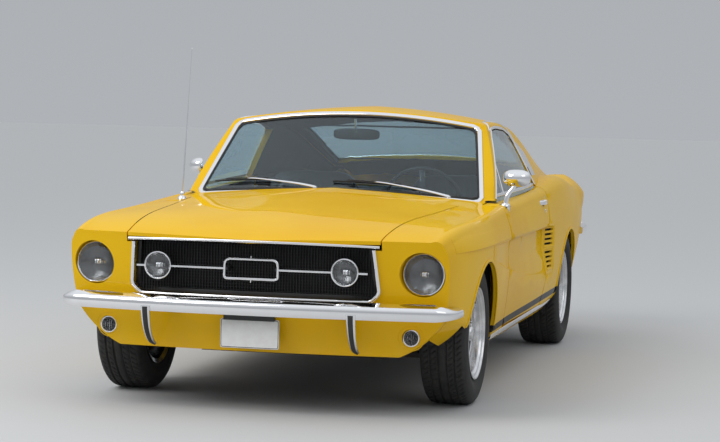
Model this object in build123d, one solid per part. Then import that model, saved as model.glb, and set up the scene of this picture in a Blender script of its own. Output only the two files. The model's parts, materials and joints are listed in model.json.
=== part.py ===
"""Fastback muscle car, in millimetres: +Z up, front towards -Y, +X on the car's left side.

The origin lies on the ground at the middle of the overall length and width. A station is a distance
behind the front bumper's face. The body is made of two lofts, the lower body and the greenhouse,
whose sections come from the two tables below, and each panel is cut from them where it really parts.
"""
from build123d import *
import math
import os

os.makedirs("parts", exist_ok=True)

# Overall sizes
LENGTH = 4663.0
WHEELBASE = 2743.0
FRONT_AXLE = 815.0
REAR_AXLE = FRONT_AXLE + WHEELBASE
TRACK = 1476.0
ROOF_HEIGHT = 1311.0

# Gaps and walls
PANEL_GAP = 6.0
DOOR_GAP = 8.0
SKIN = 16.0
ROOF_WALL = 34.0
DOOR_INNER_X = 735.0
GLASS = 6.0
GLASS_INSET = 7.0
GLASS_GAP = 5.0

# Wheels
TYRE_RADIUS = 318.0
TYRE_WIDTH = 215.0
REAR_TYRE_WIDTH = 235.0
TYRE_SIDES = 72
RIM_RADIUS = 190.5
RIM_LIP_RADIUS = 205.0
RIM_WIDTH = 178.0
HUB_RADIUS = 36.0
SPOKES = 5
KINGPIN_X = 662.0

# Wheel openings, each with its centre a little behind and below the axle's
ARCH_RADIUS = 327.0
ARCH_BACK = 14.0
REAR_ARCH_RADIUS = 336.0
REAR_ARCH_BACK = 22.0
ARCH_DROP = 8.0
WHEEL_HOUSE_RADIUS = 392.0
ARCH_LIP_X = 836.0

# Shut lines, as stations and heights
HOOD_REAR = 1300.0
DOOR_FRONT = 1490.0
DOOR_REAR = 2742.0
DOOR_BOTTOM = 292.0
SILL_TOP = DOOR_BOTTOM - PANEL_GAP
LID_FRONT = 3985.0
NOSE_SEAM = 235.0
VALANCE_TOP = 474.0
TAIL_LIP = 4560.0
TAIL_SEAM = 4455.0

# Lower body sections. Columns: station; underside z and half width; lower side half width and z;
# crease half width and z; shoulder half width and z; crest half width and z; centre line z.
LOWER_SECTIONS = (
    (30, 262, 590, 770, 440, 806, 650, 796, 708, 744, 730, 738),
    (250, 262, 620, 818, 430, 842, 700, 824, 752, 768, 782, 796),
    (815, 226, 690, 858, 330, 880, 716, 850, 790, 786, 818, 868),
    (1450, 206, 740, 842, 300, 872, 714, 846, 812, 790, 850, 914),
    (2250, 206, 740, 842, 300, 872, 712, 846, 840, 796, 882, 914),
    (2750, 206, 740, 842, 300, 870, 712, 852, 862, 798, 908, 912),
    (3100, 206, 730, 844, 310, 872, 718, 862, 880, 796, 942, 912),
    (3558, 220, 700, 846, 350, 874, 728, 858, 880, 796, 936, 910),
    (4100, 300, 620, 830, 450, 856, 730, 836, 840, 764, 888, 890),
    (4640, 380, 570, 760, 500, 794, 715, 778, 800, 716, 846, 852),
)

# Greenhouse sections. Columns: station; half width at the base; rail half width and z; crown z.
GREENHOUSE_BASE_Z = 780.0
GREENHOUSE_SECTIONS = (
    (1150, 770, 690, 1130, 1185),
    (1600, 784, 656, 1200, 1250),
    (1950, 815, 648, 1224, 1290),
    (2330, 842, 642, 1234, ROOF_HEIGHT),
    (2800, 850, 634, 1208, 1288),
    (3300, 812, 634, 1116, 1186),
    (3800, 768, 634, 1002, 1056),
    (4250, 730, 642, 916, 948),
    (4640, 700, 646, 862, 880),
)

# Side scallop. Columns: station; depth; top z; bottom z
COVE_EDGE_X = 871.0
COVE_SECTIONS = (
    (980, 1, 704, 640),
    (1900, 16, 704, 500),
    (2745, 40, 704, 452),
    (2965, -4, 704, 452),
)

# Windscreen: foot and head on the centre line, and how far its corners sweep back
SCREEN_FOOT = (1505.0, 915.0)
SCREEN_HEAD = (1933.0, 1267.0)
SCREEN_SWEEP = 200.0
SCREEN_HALF = 800.0


def y_at(station):
    """Y of a station behind the front bumper's face."""
    return station - LENGTH / 2


def bulged(start, end, bulge):
    """Arc from start to end, standing out by bulge to the right of its direction, in an XZ section."""
    (x0, y0, z0), (x1, y1, z1) = start, end
    dx, dz = x1 - x0, z1 - z0
    run = math.hypot(dx, dz)
    if abs(bulge) < 1e-6:
        return Edge.make_line(start, end)
    middle = ((x0 + x1) / 2 + bulge * dz / run, (y0 + y1) / 2, (z0 + z1) / 2 - bulge * dx / run)
    return Edge.make_three_point_arc(start, middle, end)


def closed_section(half):
    """Closed wire of a half section, given as (point, point, bulge) edges from bottom to top, and its mirror."""
    edges = [bulged(a, b, bulge) for a, b, bulge in half]
    for a, b, bulge in reversed(half):
        edges.append(bulged((-b[0], b[1], b[2]), (-a[0], a[1], a[2]), bulge))
    return Wire(edges)


def lower_wire(row, inset):
    """Section of the lower body, drawn in by inset."""
    (station, z_under, x_under, x_low, z_low, x_crease, z_crease,
     x_shoulder, z_shoulder, x_crest, z_crest, z_centre) = row
    y = y_at(station)
    points = [
        (0, y, z_under + inset),
        (x_under - inset / 2, y, z_under + inset),
        (x_low - inset, y, z_low + inset / 3),
        (x_crease - inset, y, z_crease),
        (x_shoulder - inset, y, z_shoulder - inset / 3),
        (x_crest - inset / 3, y, z_crest - inset),
        (0, y, z_centre - inset),
    ]
    bulges = (0, 20, 9, 4, 14, 9)
    return closed_section([(a, b, s) for a, b, s in zip(points, points[1:], bulges)])


def lower_body(inset=0.0):
    """Solid of the lower body from nose to tail, with its skin drawn in by inset."""
    return Solid.make_loft([lower_wire(row, inset) for row in LOWER_SECTIONS])


def greenhouse_wire(row, inset):
    """Section of the greenhouse, drawn in by inset."""
    station, x_base, x_rail, z_rail, z_crown = row
    y = y_at(station)
    lean = (x_base - x_rail) / (z_rail - GREENHOUSE_BASE_Z)
    rail_round = 26.0
    x_side = x_rail + lean * rail_round * 0.7
    points = [
        (0, y, GREENHOUSE_BASE_Z),
        (x_base - inset, y, GREENHOUSE_BASE_Z),
        (x_side - inset, y, z_rail - rail_round * 0.7 - inset * 0.3),
        (x_rail - rail_round - inset * 0.6, y, z_rail + rail_round * 0.35 - inset * 0.8),
        (0, y, z_crown - inset),
    ]
    bulges = (0, 6, 7, 12)
    return closed_section([(a, b, s) for a, b, s in zip(points, points[1:], bulges)])


def greenhouse(inset=0.0):
    """Solid of the greenhouse, carried on forwards of the windscreen, with its skin drawn in by inset."""
    return Solid.make_loft([greenhouse_wire(row, inset) for row in GREENHOUSE_SECTIONS])


def slab(x, stations, z):
    """Box between two x, two stations and two heights."""
    x0, x1 = x
    s0, s1 = stations
    z0, z1 = z
    return Pos((x0 + x1) / 2, y_at((s0 + s1) / 2), (z0 + z1) / 2) * Box(x1 - x0, s1 - s0, z1 - z0)


def side_prism(points, x):
    """Prism across the car of an outline given as (station, z) points."""
    face = Face(Wire.make_polygon([(x[0], y_at(s), z) for s, z in points], close=True))
    return Solid.extrude(face, Vector(x[1] - x[0], 0, 0))


def plan_prism(points, z):
    """Upright prism of an outline given as (x, station) points."""
    face = Face(Wire.make_polygon([(px, y_at(s), z[0]) for px, s in points], close=True))
    return Solid.extrude(face, Vector(0, 0, z[1] - z[0]))


def front_prism(points, stations):
    """Prism along the car of an outline given as (x, z) points."""
    face = Face(Wire.make_polygon([(px, y_at(stations[0]), pz) for px, pz in points], close=True))
    return Solid.extrude(face, Vector(0, stations[1] - stations[0], 0))


def cross_cylinder(station, z, radius, x):
    """Cylinder across the car between two x."""
    return Pos((x[0] + x[1]) / 2, y_at(station), z) * Rot(0, 90, 0) * Cylinder(radius, x[1] - x[0])


def long_cylinder(x, z, radius, stations):
    """Cylinder along the car between two stations."""
    middle = (stations[0] + stations[1]) / 2
    return Pos(x, y_at(middle), z) * Rot(90, 0, 0) * Cylinder(radius, stations[1] - stations[0])


def mirrored(shape):
    """The same shape on the other side of the car."""
    return shape.mirror(Plane.YZ)


def bowed_wall(rows, far):
    """Solid ahead of a bowed wall. Each row gives the (station, z) of the wall's centre line at one height and
    how far its corners sweep back, and the solid runs on forwards to the station far."""
    wires = []
    for (station, height), sweep in rows:
        left = (-SCREEN_HALF * 1.25, y_at(station + sweep * 1.5625), height)
        right = (SCREEN_HALF * 1.25, y_at(station + sweep * 1.5625), height)
        arc = Edge.make_three_point_arc(left, (0, y_at(station), height), right)
        far_right = (right[0], y_at(far), height)
        far_left = (left[0], y_at(far), height)
        wires.append(Wire([arc, Edge.make_line(right, far_right), Edge.make_line(far_right, far_left),
                           Edge.make_line(far_left, left)]))
    return Solid.make_loft(wires, ruled=True)


def ahead_of_screen(back):
    """Solid ahead of the windscreen's surface when that is moved back along the car."""
    slope = (SCREEN_HEAD[0] - SCREEN_FOOT[0]) / (SCREEN_HEAD[1] - SCREEN_FOOT[1])
    low, high = 740.0, 1400.0
    rows = [((SCREEN_FOOT[0] + (height - SCREEN_FOOT[1]) * slope + back, height), SCREEN_SWEEP)
            for height in (low, high)]
    return bowed_wall(rows, 600.0)


# The nose face leans forwards at its top and is bowed in plan
NOSE_LIP = (46.0, 737.0)
NOSE_LEAN = 0.22
NOSE_SWEEP = 88.0


def ahead_of_nose(back=0.0):
    """Solid ahead of the nose face, when that is moved back along the car."""
    rows = [((NOSE_LIP[0] + (NOSE_LIP[1] - height) * NOSE_LEAN + back, height), NOSE_SWEEP)
            for height in (180.0, 960.0)]
    return bowed_wall(rows, -400.0)


def tail_shape():
    """Everything ahead of the tail's side profile: lip, hollow tail panel and tucked valance."""
    corner = [(TAIL_LIP, 1000), (TAIL_LIP, 868), (TAIL_LIP - 14, 846), (TAIL_LIP - 12, 668),
              (TAIL_LIP + 12, 646), (TAIL_LIP + 12, 560), (TAIL_LIP - 40, 380), (TAIL_LIP - 80, 200)]
    pts = [(0.0, y_at(s), z) for s, z in corner]
    edges = [Edge.make_line(pts[0], pts[1]), Edge.make_line(pts[1], pts[2]),
             Edge.make_three_point_arc(pts[2], (0, y_at(TAIL_LIP - 44), 757), pts[3])]
    edges += [Edge.make_line(a, b) for a, b in zip(pts[3:], pts[4:])]
    start, end = (0.0, y_at(-300), 200.0), (0.0, y_at(-300), 1000.0)
    edges += [Edge.make_line(pts[-1], start), Edge.make_line(start, end), Edge.make_line(end, pts[0])]
    face = Face(Wire(edges))
    half = Solid.extrude(face, Vector(1000, 0, 0))
    return half + mirrored(half)


def outer_solid(inset=0.0):
    """Lower body with its nose and tail faces."""
    return (lower_body(inset) - ahead_of_nose()) & tail_shape()


def hood_outline(gap):
    """Plan outline of the hood opening, grown by gap."""
    rear = HOOD_REAR + gap
    half = [(0, rear - 36), (340, rear - 28), (648 + gap, rear), (586 + gap, 620), (550 + gap, 120), (546 + gap, -100)]
    return half + [(-x, s) for x, s in reversed(half[1:])]


def lid_outline(gap):
    """Plan outline of the boot lid opening, grown by gap."""
    return [(-572 - gap, LID_FRONT - gap), (572 + gap, LID_FRONT - gap), (604 + gap, 4800), (-604 - gap, 4800)]


def door_outline(gap):
    """Side outline of the door, grown by gap, running above the belt."""
    low, corner = DOOR_BOTTOM - gap, 40.0
    front, rear = DOOR_FRONT - gap, DOOR_REAR + gap
    return [(front, 1000), (front, low + corner), (front + corner, low), (rear - 2.5 * corner, low),
            (rear, low + 2.5 * corner), (rear, 1000)]


def cove_cutter():
    """Side scallop below the crease, which deepens rearwards and comes back out over the scoop panel."""
    wires = []
    for station, depth, top, bottom in COVE_SECTIONS:
        y = y_at(station)
        points = [(COVE_EDGE_X + 40, y, top + 6), (COVE_EDGE_X - depth, y, top - 10),
                  (COVE_EDGE_X - depth - 3, y, (top + bottom) / 2), (COVE_EDGE_X - 11, y, bottom),
                  (COVE_EDGE_X + 40, y, bottom - 30)]
        wires.append(Wire.make_polygon(points, close=True))
    return Solid.make_loft(wires, ruled=True)


def arch_cutter(station, radius):
    """Wheel opening through the left side of the body, wider behind its lip."""
    opening = cross_cylinder(station, TYRE_RADIUS - ARCH_DROP, radius, (590, 1000))
    return opening + cross_cylinder(station, TYRE_RADIUS, WHEEL_HOUSE_RADIUS, (400, ARCH_LIP_X))


def side_window(gap):
    """Side outline of the door window, shrunk by gap."""
    return [(1586 + 2 * gap, 860), (2084 + 1.4 * gap, 1205 - gap), (2250, 1213 - gap), (2480, 1204 - gap),
            (2652 - 1.5 * gap, 1172 - gap), (2728 - 1.5 * gap, 860)]


def joined(shapes):
    """List of the solids of several shapes."""
    found = []
    for shape in shapes:
        found += list(shape.solids())
    return found


def write(name, *shapes):
    """Write one node's STEP file."""
    solids = joined(shapes)
    whole = solids[0] if len(solids) == 1 else Compound(children=solids)
    export_step(whole, f"parts/{name}.step")


def write_pair(name, shape):
    """Write a left piece and its mirror image."""
    write(f"{name}_left", shape)
    write(f"{name}_right", mirrored(shape))


OUTER = outer_solid()
SKIN_SHELL = OUTER - lower_body(SKIN)
COVE = cove_cutter()
ROOF_SHELL = (greenhouse() - greenhouse(ROOF_WALL)) - ahead_of_screen(0)
DECK_SHELL = (greenhouse() - greenhouse(SKIN)) & tail_shape()


# Hood, fenders and nose
GRILLE_HALF_TOP, GRILLE_HALF_LOW = 518.0, 536.0
GRILLE_TOP, GRILLE_LOW = 722.0, 500.0
GRILLE_STATION = 160.0
GRILLE_PLATE = 10.0
SURROUND_WIDTH = 16.0
SURROUND_DEPTH = 46.0
HEADLAMP_X, HEADLAMP_Z, HEADLAMP_RADIUS = 718.0, 618.0, 88.0
HEADLAMP_FACE = 176.0
FOG_X, FOG_Z, FOG_RADIUS = 406.0, 622.0, 59.0
FOG_FACE = 62.0
VALANCE_LAMP_X, VALANCE_LAMP_Z, VALANCE_LAMP_RADIUS = 666.0, 348.0, 36.0
VALANCE_LAMP_FACE = 196.0
LAMP_SEAT = 205.0


def grille_opening(inset=0.0):
    """Grille opening through the nose panel."""
    c = 36.0
    half = [(GRILLE_HALF_LOW - c, GRILLE_LOW + inset), (GRILLE_HALF_LOW - inset, GRILLE_LOW + c),
            (GRILLE_HALF_TOP - inset, GRILLE_TOP + 60)]
    points = half + [(-x, z) for x, z in reversed(half)]
    return front_prism(points, (-100, 400))


def nose_layer(front, back):
    """Layer of the nose between two distances behind its face."""
    return ahead_of_nose(back) - ahead_of_nose(front)


def build_hood():
    """Hood skin, hinged at the rear."""
    return SKIN_SHELL & plan_prism(hood_outline(0), (600, 1000))


def build_fender():
    """Left front fender, from the nose seam to the door, with its wheel opening."""
    fender = SKIN_SHELL & slab((0, 1000), (NOSE_SEAM, DOOR_FRONT - DOOR_GAP), (200, 1000))
    fender -= slab((-10, ARCH_LIP_X - 100), (0, 1700), (100, 620))
    fender -= plan_prism(hood_outline(PANEL_GAP), (500, 1000))
    fender -= slab((-10, DOOR_INNER_X), (HOOD_REAR - 100, 1700), (600, 1000))
    fender -= arch_cutter(FRONT_AXLE + ARCH_BACK, ARCH_RADIUS)
    return fender - COVE


def build_nose_panel():
    """Headlamp housings and the panel round the grille, in one piece."""
    panel = OUTER & slab((-1000, 1000), (0, NOSE_SEAM), (VALANCE_TOP, 900))
    panel -= plan_prism(hood_outline(PANEL_GAP), (GRILLE_TOP - PANEL_GAP, 1000))
    pocket = long_cylinder(HEADLAMP_X, HEADLAMP_Z, HEADLAMP_RADIUS + PANEL_GAP, (-100, LAMP_SEAT))
    return panel - grille_opening() - pocket - mirrored(pocket)


VALANCE_WALL = 24.0


def build_front_valance():
    """Panel below the bumper."""
    valance = OUTER & slab((-1000, 1000), (0, NOSE_SEAM), (200, VALANCE_TOP))
    valance = valance & nose_layer(0, VALANCE_WALL)
    lamp_hole = long_cylinder(VALANCE_LAMP_X, VALANCE_LAMP_Z, VALANCE_LAMP_RADIUS + 2, (-100, 400))
    return valance - lamp_hole - mirrored(lamp_hole)


write("hood", build_hood())
fender = build_fender()
write("fenders", fender, mirrored(fender))
write("nose_panel", build_nose_panel())
write("front_valance", build_front_valance())
grille_plate = grille_opening() & slab((-600, 600), (GRILLE_STATION, GRILLE_STATION + GRILLE_PLATE), (400, GRILLE_TOP))

# Grille surround and bar, with the frame in the middle left bare
BAR_STATION = 62.0
FRAME_HALF, FRAME_HEIGHT, FRAME_BAR = 118.0, 84.0, 14.0
FRAME_Z = 618.0


def grille_frame():
    """Empty upright frame in the middle of the grille, on two stays."""
    outer = slab((-FRAME_HALF, FRAME_HALF), (BAR_STATION, BAR_STATION + FRAME_BAR),
                 (FRAME_Z - FRAME_HEIGHT / 2, FRAME_Z + FRAME_HEIGHT / 2))
    inner = slab((-FRAME_HALF + FRAME_BAR, FRAME_HALF - FRAME_BAR), (BAR_STATION - 10, BAR_STATION + 30),
                 (FRAME_Z - FRAME_HEIGHT / 2 + FRAME_BAR, FRAME_Z + FRAME_HEIGHT / 2 - FRAME_BAR))
    stay = slab((FRAME_HALF - FRAME_BAR, FRAME_HALF), (BAR_STATION, GRILLE_STATION + 2), (FRAME_Z - 7, FRAME_Z + 7))
    return outer - inner + stay + mirrored(stay)


bar = slab((FRAME_HALF, FOG_X - FOG_RADIUS), (BAR_STATION + 4, BAR_STATION + 14), (FRAME_Z - 5, FRAME_Z + 5))
write("grille", grille_plate + grille_frame() + bar + mirrored(bar))
surround = (grille_opening() - grille_opening(SURROUND_WIDTH)) & nose_layer(-10, SURROUND_DEPTH)
write("grille_surround", surround & slab((-600, 600), (0, GRILLE_STATION - 4), (0, GRILLE_TOP - 8)))

lamps = [long_cylinder(HEADLAMP_X, HEADLAMP_Z, HEADLAMP_RADIUS, (HEADLAMP_FACE, LAMP_SEAT)),
         long_cylinder(FOG_X, FOG_Z, FOG_RADIUS, (FOG_FACE, GRILLE_STATION)),
         long_cylinder(VALANCE_LAMP_X, VALANCE_LAMP_Z, VALANCE_LAMP_RADIUS, (VALANCE_LAMP_FACE, NOSE_SEAM))]
write("front_lamps", *lamps, *[mirrored(lamp) for lamp in lamps])


# Doors, which keep a flat inner face
DOOR_REAR_TAPER = 28.0


def door_block(gap):
    """Prism that the door fills, grown by gap, with its rear edge tapered to swing clear."""
    block = side_prism(door_outline(gap), (DOOR_INNER_X - gap, 1000))
    y = y_at(DOOR_REAR + gap)
    wedge = Solid.extrude(Face(Wire.make_polygon([(880, y, 0), (DOOR_INNER_X - 20, y, 0),
                                                  (DOOR_INNER_X - 20, y - DOOR_REAR_TAPER, 0)], close=True)),
                          Vector(0, 0, 1100))
    return block - wedge


door = (OUTER & door_block(0)) - COVE
# Mirrors: station, and how far the head is turned to face the driver
LEFT_MIRROR, RIGHT_MIRROR = (1622.0, 0.0), (2110.0, 62.0)
MIRROR_X, MIRROR_Z = 868.0, 985.0
MIRROR_SIZE = (126.0, 78.0, 44.0)


def door_mirror(station, turn):
    """Mirror head on a slanted stalk, on the left door."""
    foot = slab((806, 846), (station - 60, station + 20), (850, 892))
    stalk = front_prism([(816, 880), (842, 880), (876, 956), (850, 956)], (station - 40, station - 10))
    width, height, depth = MIRROR_SIZE
    face = extrude(RectangleRounded(width, height, 0.4 * height), depth / 2, both=True)
    return foot + stalk + Pos(MIRROR_X, y_at(station), MIRROR_Z) * Rot(0, 0, turn) * Rot(90, 0, 0) * face


handle = slab((838, 872), (2530, 2650), (822, 840)) - slab((800, 862), (2548, 2632), (800, 860))
write("door_left", door + door_mirror(*LEFT_MIRROR) + handle)
write("door_right", mirrored(door + door_mirror(*RIGHT_MIRROR) + handle))

glass_layer = greenhouse(GLASS_INSET) - greenhouse(GLASS_INSET + GLASS)
door_glass = (glass_layer & side_prism(side_window(GLASS_GAP), (400, 1000))) - OUTER
write_pair("door_glass", door_glass)

screen_layer = ahead_of_screen(GLASS_INSET + GLASS) - ahead_of_screen(GLASS_INSET)
SCREEN_LOW_HALF, SCREEN_LOW_Z = 698.0, 872.0
SCREEN_TOP_HALF, SCREEN_TOP_Z = 610.0, 1211.0


def arched_prism(low, top, low_z, top_z, stations):
    """Prism along the car of an outline with straight sides and a bowed top and bottom. low and top are half
    widths, and each z pair gives the corners and the middle."""
    y = y_at(stations[0])
    corners = [(-low, y, low_z[0]), (low, y, low_z[0]), (top, y, top_z[0]), (-top, y, top_z[0])]
    edges = [Edge.make_three_point_arc(corners[0], (0, y, low_z[1]), corners[1]),
             Edge.make_line(corners[1], corners[2]),
             Edge.make_three_point_arc(corners[2], (0, y, top_z[1]), corners[3]),
             Edge.make_line(corners[3], corners[0])]
    return Solid.extrude(Face(Wire(edges)), Vector(0, stations[1] - stations[0], 0))


screen_prism = arched_prism(SCREEN_LOW_HALF, SCREEN_TOP_HALF, (SCREEN_LOW_Z, SCREEN_FOOT[1] - 12),
                            (SCREEN_TOP_Z, SCREEN_HEAD[1]), (1300, 2160))
windshield = screen_layer & screen_prism & greenhouse(ROOF_WALL / 2)
windshield -= OUTER

BACKLIGHT_OUTLINE = [(-530, 2960), (530, 2960), (560, 3900), (-560, 3900)]
backlight_prism = plan_prism(BACKLIGHT_OUTLINE, (850, 1400))
write("fixed_glass", windshield, glass_layer & backlight_prism)

roof = ROOF_SHELL & slab((-1000, 1000), (1200, LID_FRONT - PANEL_GAP), (600, 1400))
roof -= OUTER
roof -= screen_prism
roof -= backlight_prism
roof -= side_prism(side_window(0), (400, 1000))
roof -= side_prism(side_window(0), (-1000, -400))
door_slot = side_prism([(DOOR_FRONT - DOOR_GAP, 700), (DOOR_FRONT - DOOR_GAP, 870), (2250, 892),
                        (DOOR_REAR + DOOR_GAP, 920), (DOOR_REAR + DOOR_GAP, 700)], (DOOR_INNER_X - DOOR_GAP, 1000))
roof -= door_slot
roof -= mirrored(door_slot)
write("roof_panel", roof)


SCOOP_SLOTS = 4
SCOOP_PITCH = 25.0
SCOOP_GROUPS = (478.0, 598.0)


def scoop_slots():
    """Two groups of short level slots in the slanted scoop panel."""
    return [slab((820, 1000), (2796, 2916), (low + number * SCOOP_PITCH, low + number * SCOOP_PITCH + 11))
            for low in SCOOP_GROUPS for number in range(SCOOP_SLOTS)]


def build_quarter():
    """Left quarter panel with its rear wheel opening, jamb and deck side."""
    panel = SKIN_SHELL & slab((0, 1000), (DOOR_REAR, TAIL_SEAM), (200, 1000))
    panel -= slab((-10, ARCH_LIP_X - 100), (2000, 4800), (100, 700))
    panel -= plan_prism([(-10, 2000), (762, 2000), (762, 2900), (690, 3400), (640, 3900), (616, 4800), (-10, 4800)],
                        (700, 1000))
    jamb = OUTER & slab((DOOR_INNER_X, 1000), (DOOR_REAR - 60, DOOR_REAR + 60), (SILL_TOP, 1000))
    panel = panel + (jamb - slab((0, 1000), (DOOR_REAR + 60, 3000), (0, 1000)))
    panel -= door_block(DOOR_GAP)
    panel -= slab((0, 1000), (DOOR_REAR - 100, DOOR_REAR + 3), (0, DOOR_BOTTOM - DOOR_GAP))
    panel -= arch_cutter(REAR_AXLE + REAR_ARCH_BACK, REAR_ARCH_RADIUS)
    for slot in scoop_slots():
        panel -= slot
    deck = DECK_SHELL - OUTER
    deck &= slab((0, 1000), (LID_FRONT - PANEL_GAP, TAIL_SEAM), (700, 1100))
    deck -= plan_prism(lid_outline(PANEL_GAP), (600, 1100))
    return panel - COVE, deck


quarter, deck_side = build_quarter()
write("quarter_panels", quarter, deck_side, mirrored(quarter), mirrored(deck_side))

lid = DECK_SHELL & plan_prism(lid_outline(0), (600, 1100))
write("boot_lid", lid - (OUTER & slab((-1000, 1000), (TAIL_SEAM - PANEL_GAP, 4800), (300, 1000))))

tail = OUTER & slab((-1000, 1000), (TAIL_SEAM, 4800), (200, 1000))
tail -= lower_body(SKIN) & slab((-1000, 1000), (TAIL_SEAM - 10, TAIL_LIP - 66), (200, 1000))
tail += long_cylinder(0, 756, 62, (TAIL_LIP - 60, TAIL_LIP - 6))
write("tail_panel", tail)


# Bumpers
BUMPER_LOW, BUMPER_EDGE, BUMPER_TOP = 428.0, 478.0, 500.0
BUMPER_HALF = 790.0
BUMPER_TIP = (874.0, 268.0)
BUMPER_DEPTH = 58.0
REAR_BUMPER_Z = (566.0, 632.0, 650.0)
REAR_TIP = (852.0, LENGTH - 380)
GUARD_X, GUARD_HALF = 445.0, 24.0


def bumper_wire(face, sweep, tip, depth, z, sign):
    """Plan wire of a wrapped bumper: sign is 1 with the body behind it and -1 with the body ahead."""
    tip_x, tip_s = tip
    bend = (BUMPER_HALF, face + sign * sweep)
    corner = (tip_x - 22, face + sign * (sweep + 70))
    inner_bend = (BUMPER_HALF - 20, face + sign * (sweep + depth))
    outer = [(-bend[0], bend[1]), (0, face), bend]
    inner = [inner_bend, (0, face + sign * depth), (-inner_bend[0], inner_bend[1])]

    def at(point):
        return (point[0], y_at(point[1]), z)

    inner_tip = (tip_x - 24, tip_s)
    edges = [Edge.make_three_point_arc(*[at(q) for q in outer]),
             Edge.make_three_point_arc(at(bend), at(corner), at(tip)),
             Edge.make_line(at(tip), at(inner_tip)), Edge.make_line(at(inner_tip), at(inner_bend)),
             Edge.make_three_point_arc(*[at(q) for q in inner]),
             Edge.make_line(at(inner[2]), at((-inner_tip[0], tip_s))),
             Edge.make_line(at((-inner_tip[0], tip_s)), at((-tip_x, tip_s))),
             Edge.make_three_point_arc(at((-tip_x, tip_s)), at((-corner[0], corner[1])), at(outer[0]))]
    return Wire(edges)


def bumper(face, sweep, tip, heights, sign):
    """Wrapped bumper with an upright face and a sloping top."""
    low, edge, top = heights
    upright = Solid.make_loft([bumper_wire(face, sweep, tip, BUMPER_DEPTH, z, sign) for z in (low, edge)], ruled=True)
    slope = Solid.make_loft([bumper_wire(face, sweep, tip, BUMPER_DEPTH, edge, sign),
                             bumper_wire(face + sign * 34, sweep, (tip[0] - 10, tip[1]), BUMPER_DEPTH - 34, top, sign)],
                            ruled=True)
    return upright + slope




def bumper_guard():
    """Curved guard from the bumper's underside down along the valance."""
    y = [y_at(s) for s in (14, 48, 158, 168, 84, 40)]
    x = GUARD_X - GUARD_HALF
    outer = Edge.make_three_point_arc((x, y[0], BUMPER_LOW + 6), (x, y[1], 340), (x, y[2], 274))
    tip = Edge.make_line((x, y[2], 274), (x, y[3], 300))
    inner = Edge.make_three_point_arc((x, y[3], 300), (x, y[4], 356), (x, y[5], BUMPER_LOW + 6))
    top = Edge.make_line((x, y[5], BUMPER_LOW + 6), (x, y[0], BUMPER_LOW + 6))
    return Solid.extrude(Face(Wire([outer, tip, inner, top])), Vector(2 * GUARD_HALF, 0, 0))


front_bumper = bumper(0.0, 74.0, BUMPER_TIP, (BUMPER_LOW, BUMPER_EDGE, BUMPER_TOP), 1)
plate = slab((-128, 128), (72, 78), (286, 410)) + slab((-110, 110), (50, 78), (404, BUMPER_LOW + 4))
guard = bumper_guard()
mounts = [slab((side * 380 - 30, side * 380 + 30), (56, 200), (444, 484)) for side in (-1, 1)]
write("bumper_front", (front_bumper + guard + mirrored(guard) + plate + mounts[0] + mounts[1])
      - (OUTER & slab((-1000, 1000), (0, NOSE_SEAM + 300), (200, 900))))
rear_bumper = bumper(LENGTH, 60.0, REAR_TIP, REAR_BUMPER_Z, -1)
rear_mounts = [slab((side * 380 - 30, side * 380 + 30), (TAIL_LIP, LENGTH - 30), (576, 626)) for side in (-1, 1)]
write("bumper_rear", (rear_bumper + rear_mounts[0] + rear_mounts[1])
      - (OUTER & slab((-1000, 1000), (4200, 4700), (200, 900))))


# Tail lamps and fuel cap
tail_lamps = []
for side in (-1, 1):
    for column in (430, 520, 610):
        tail_lamps.append(slab((side * column - 36, side * column + 36), (TAIL_LIP - 60, TAIL_LIP - 4), (688, 832)))
write("tail_lamps", *[lamp - OUTER for lamp in tail_lamps])


# Floor, sills, bulkhead and inner panels
FLOOR_Z, FLOOR_WALL = 250.0, 10.0
FLOOR_FRONT, FLOOR_REAR = 1400.0, 2960.0
FLOOR_HALF = 690.0
TUNNEL_HALF, TUNNEL_TOP = 130.0, 400.0
SHELF_Z, TRUNK_Z = 450.0, 440.0
floor = slab((-FLOOR_HALF, FLOOR_HALF), (FLOOR_FRONT, FLOOR_REAR), (FLOOR_Z, FLOOR_Z + FLOOR_WALL))
floor -= slab((-TUNNEL_HALF + FLOOR_WALL, TUNNEL_HALF - FLOOR_WALL), (FLOOR_FRONT - 10, FLOOR_REAR + 10), (200, 300))
TUNNEL_REAR = FLOOR_REAR + 142
tunnel = slab((-TUNNEL_HALF, TUNNEL_HALF), (FLOOR_FRONT, TUNNEL_REAR), (FLOOR_Z, TUNNEL_TOP))
tunnel_bore = slab((-TUNNEL_HALF + FLOOR_WALL, TUNNEL_HALF - FLOOR_WALL), (FLOOR_FRONT - 10, TUNNEL_REAR + 10),
                   (200, TUNNEL_TOP - FLOOR_WALL))

INNER_ARCH_X = 590.0
REAR_HALF = 585.0
rear_floor = side_prism([(FLOOR_REAR, FLOOR_Z), (3150, SHELF_Z), (TAIL_SEAM, SHELF_Z), (TAIL_SEAM, SHELF_Z + FLOOR_WALL),
                         (3150 - 6, SHELF_Z + FLOOR_WALL), (FLOOR_REAR, FLOOR_Z + FLOOR_WALL)], (-REAR_HALF, REAR_HALF))
write("floor_pan", floor + tunnel + rear_floor - tunnel_bore)

SILL_UNDER = 214.0
sill = OUTER & slab((FLOOR_HALF, 1000), (DOOR_FRONT - DOOR_GAP, DOOR_REAR + 3), (SILL_UNDER, SILL_TOP - 5))
write("sills", sill, mirrored(sill))

wheel_house = cross_cylinder(REAR_AXLE, TYRE_RADIUS, WHEEL_HOUSE_RADIUS, (REAR_HALF, 830))
wheel_house -= cross_cylinder(REAR_AXLE, TYRE_RADIUS, WHEEL_HOUSE_RADIUS - 8, (REAR_HALF + 8, 900))
wheel_house -= slab((0, 1000), (3000, 4100), (-100, 375))
wheel_house &= lower_body(SKIN)
write("wheel_houses", wheel_house, mirrored(wheel_house))

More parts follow.
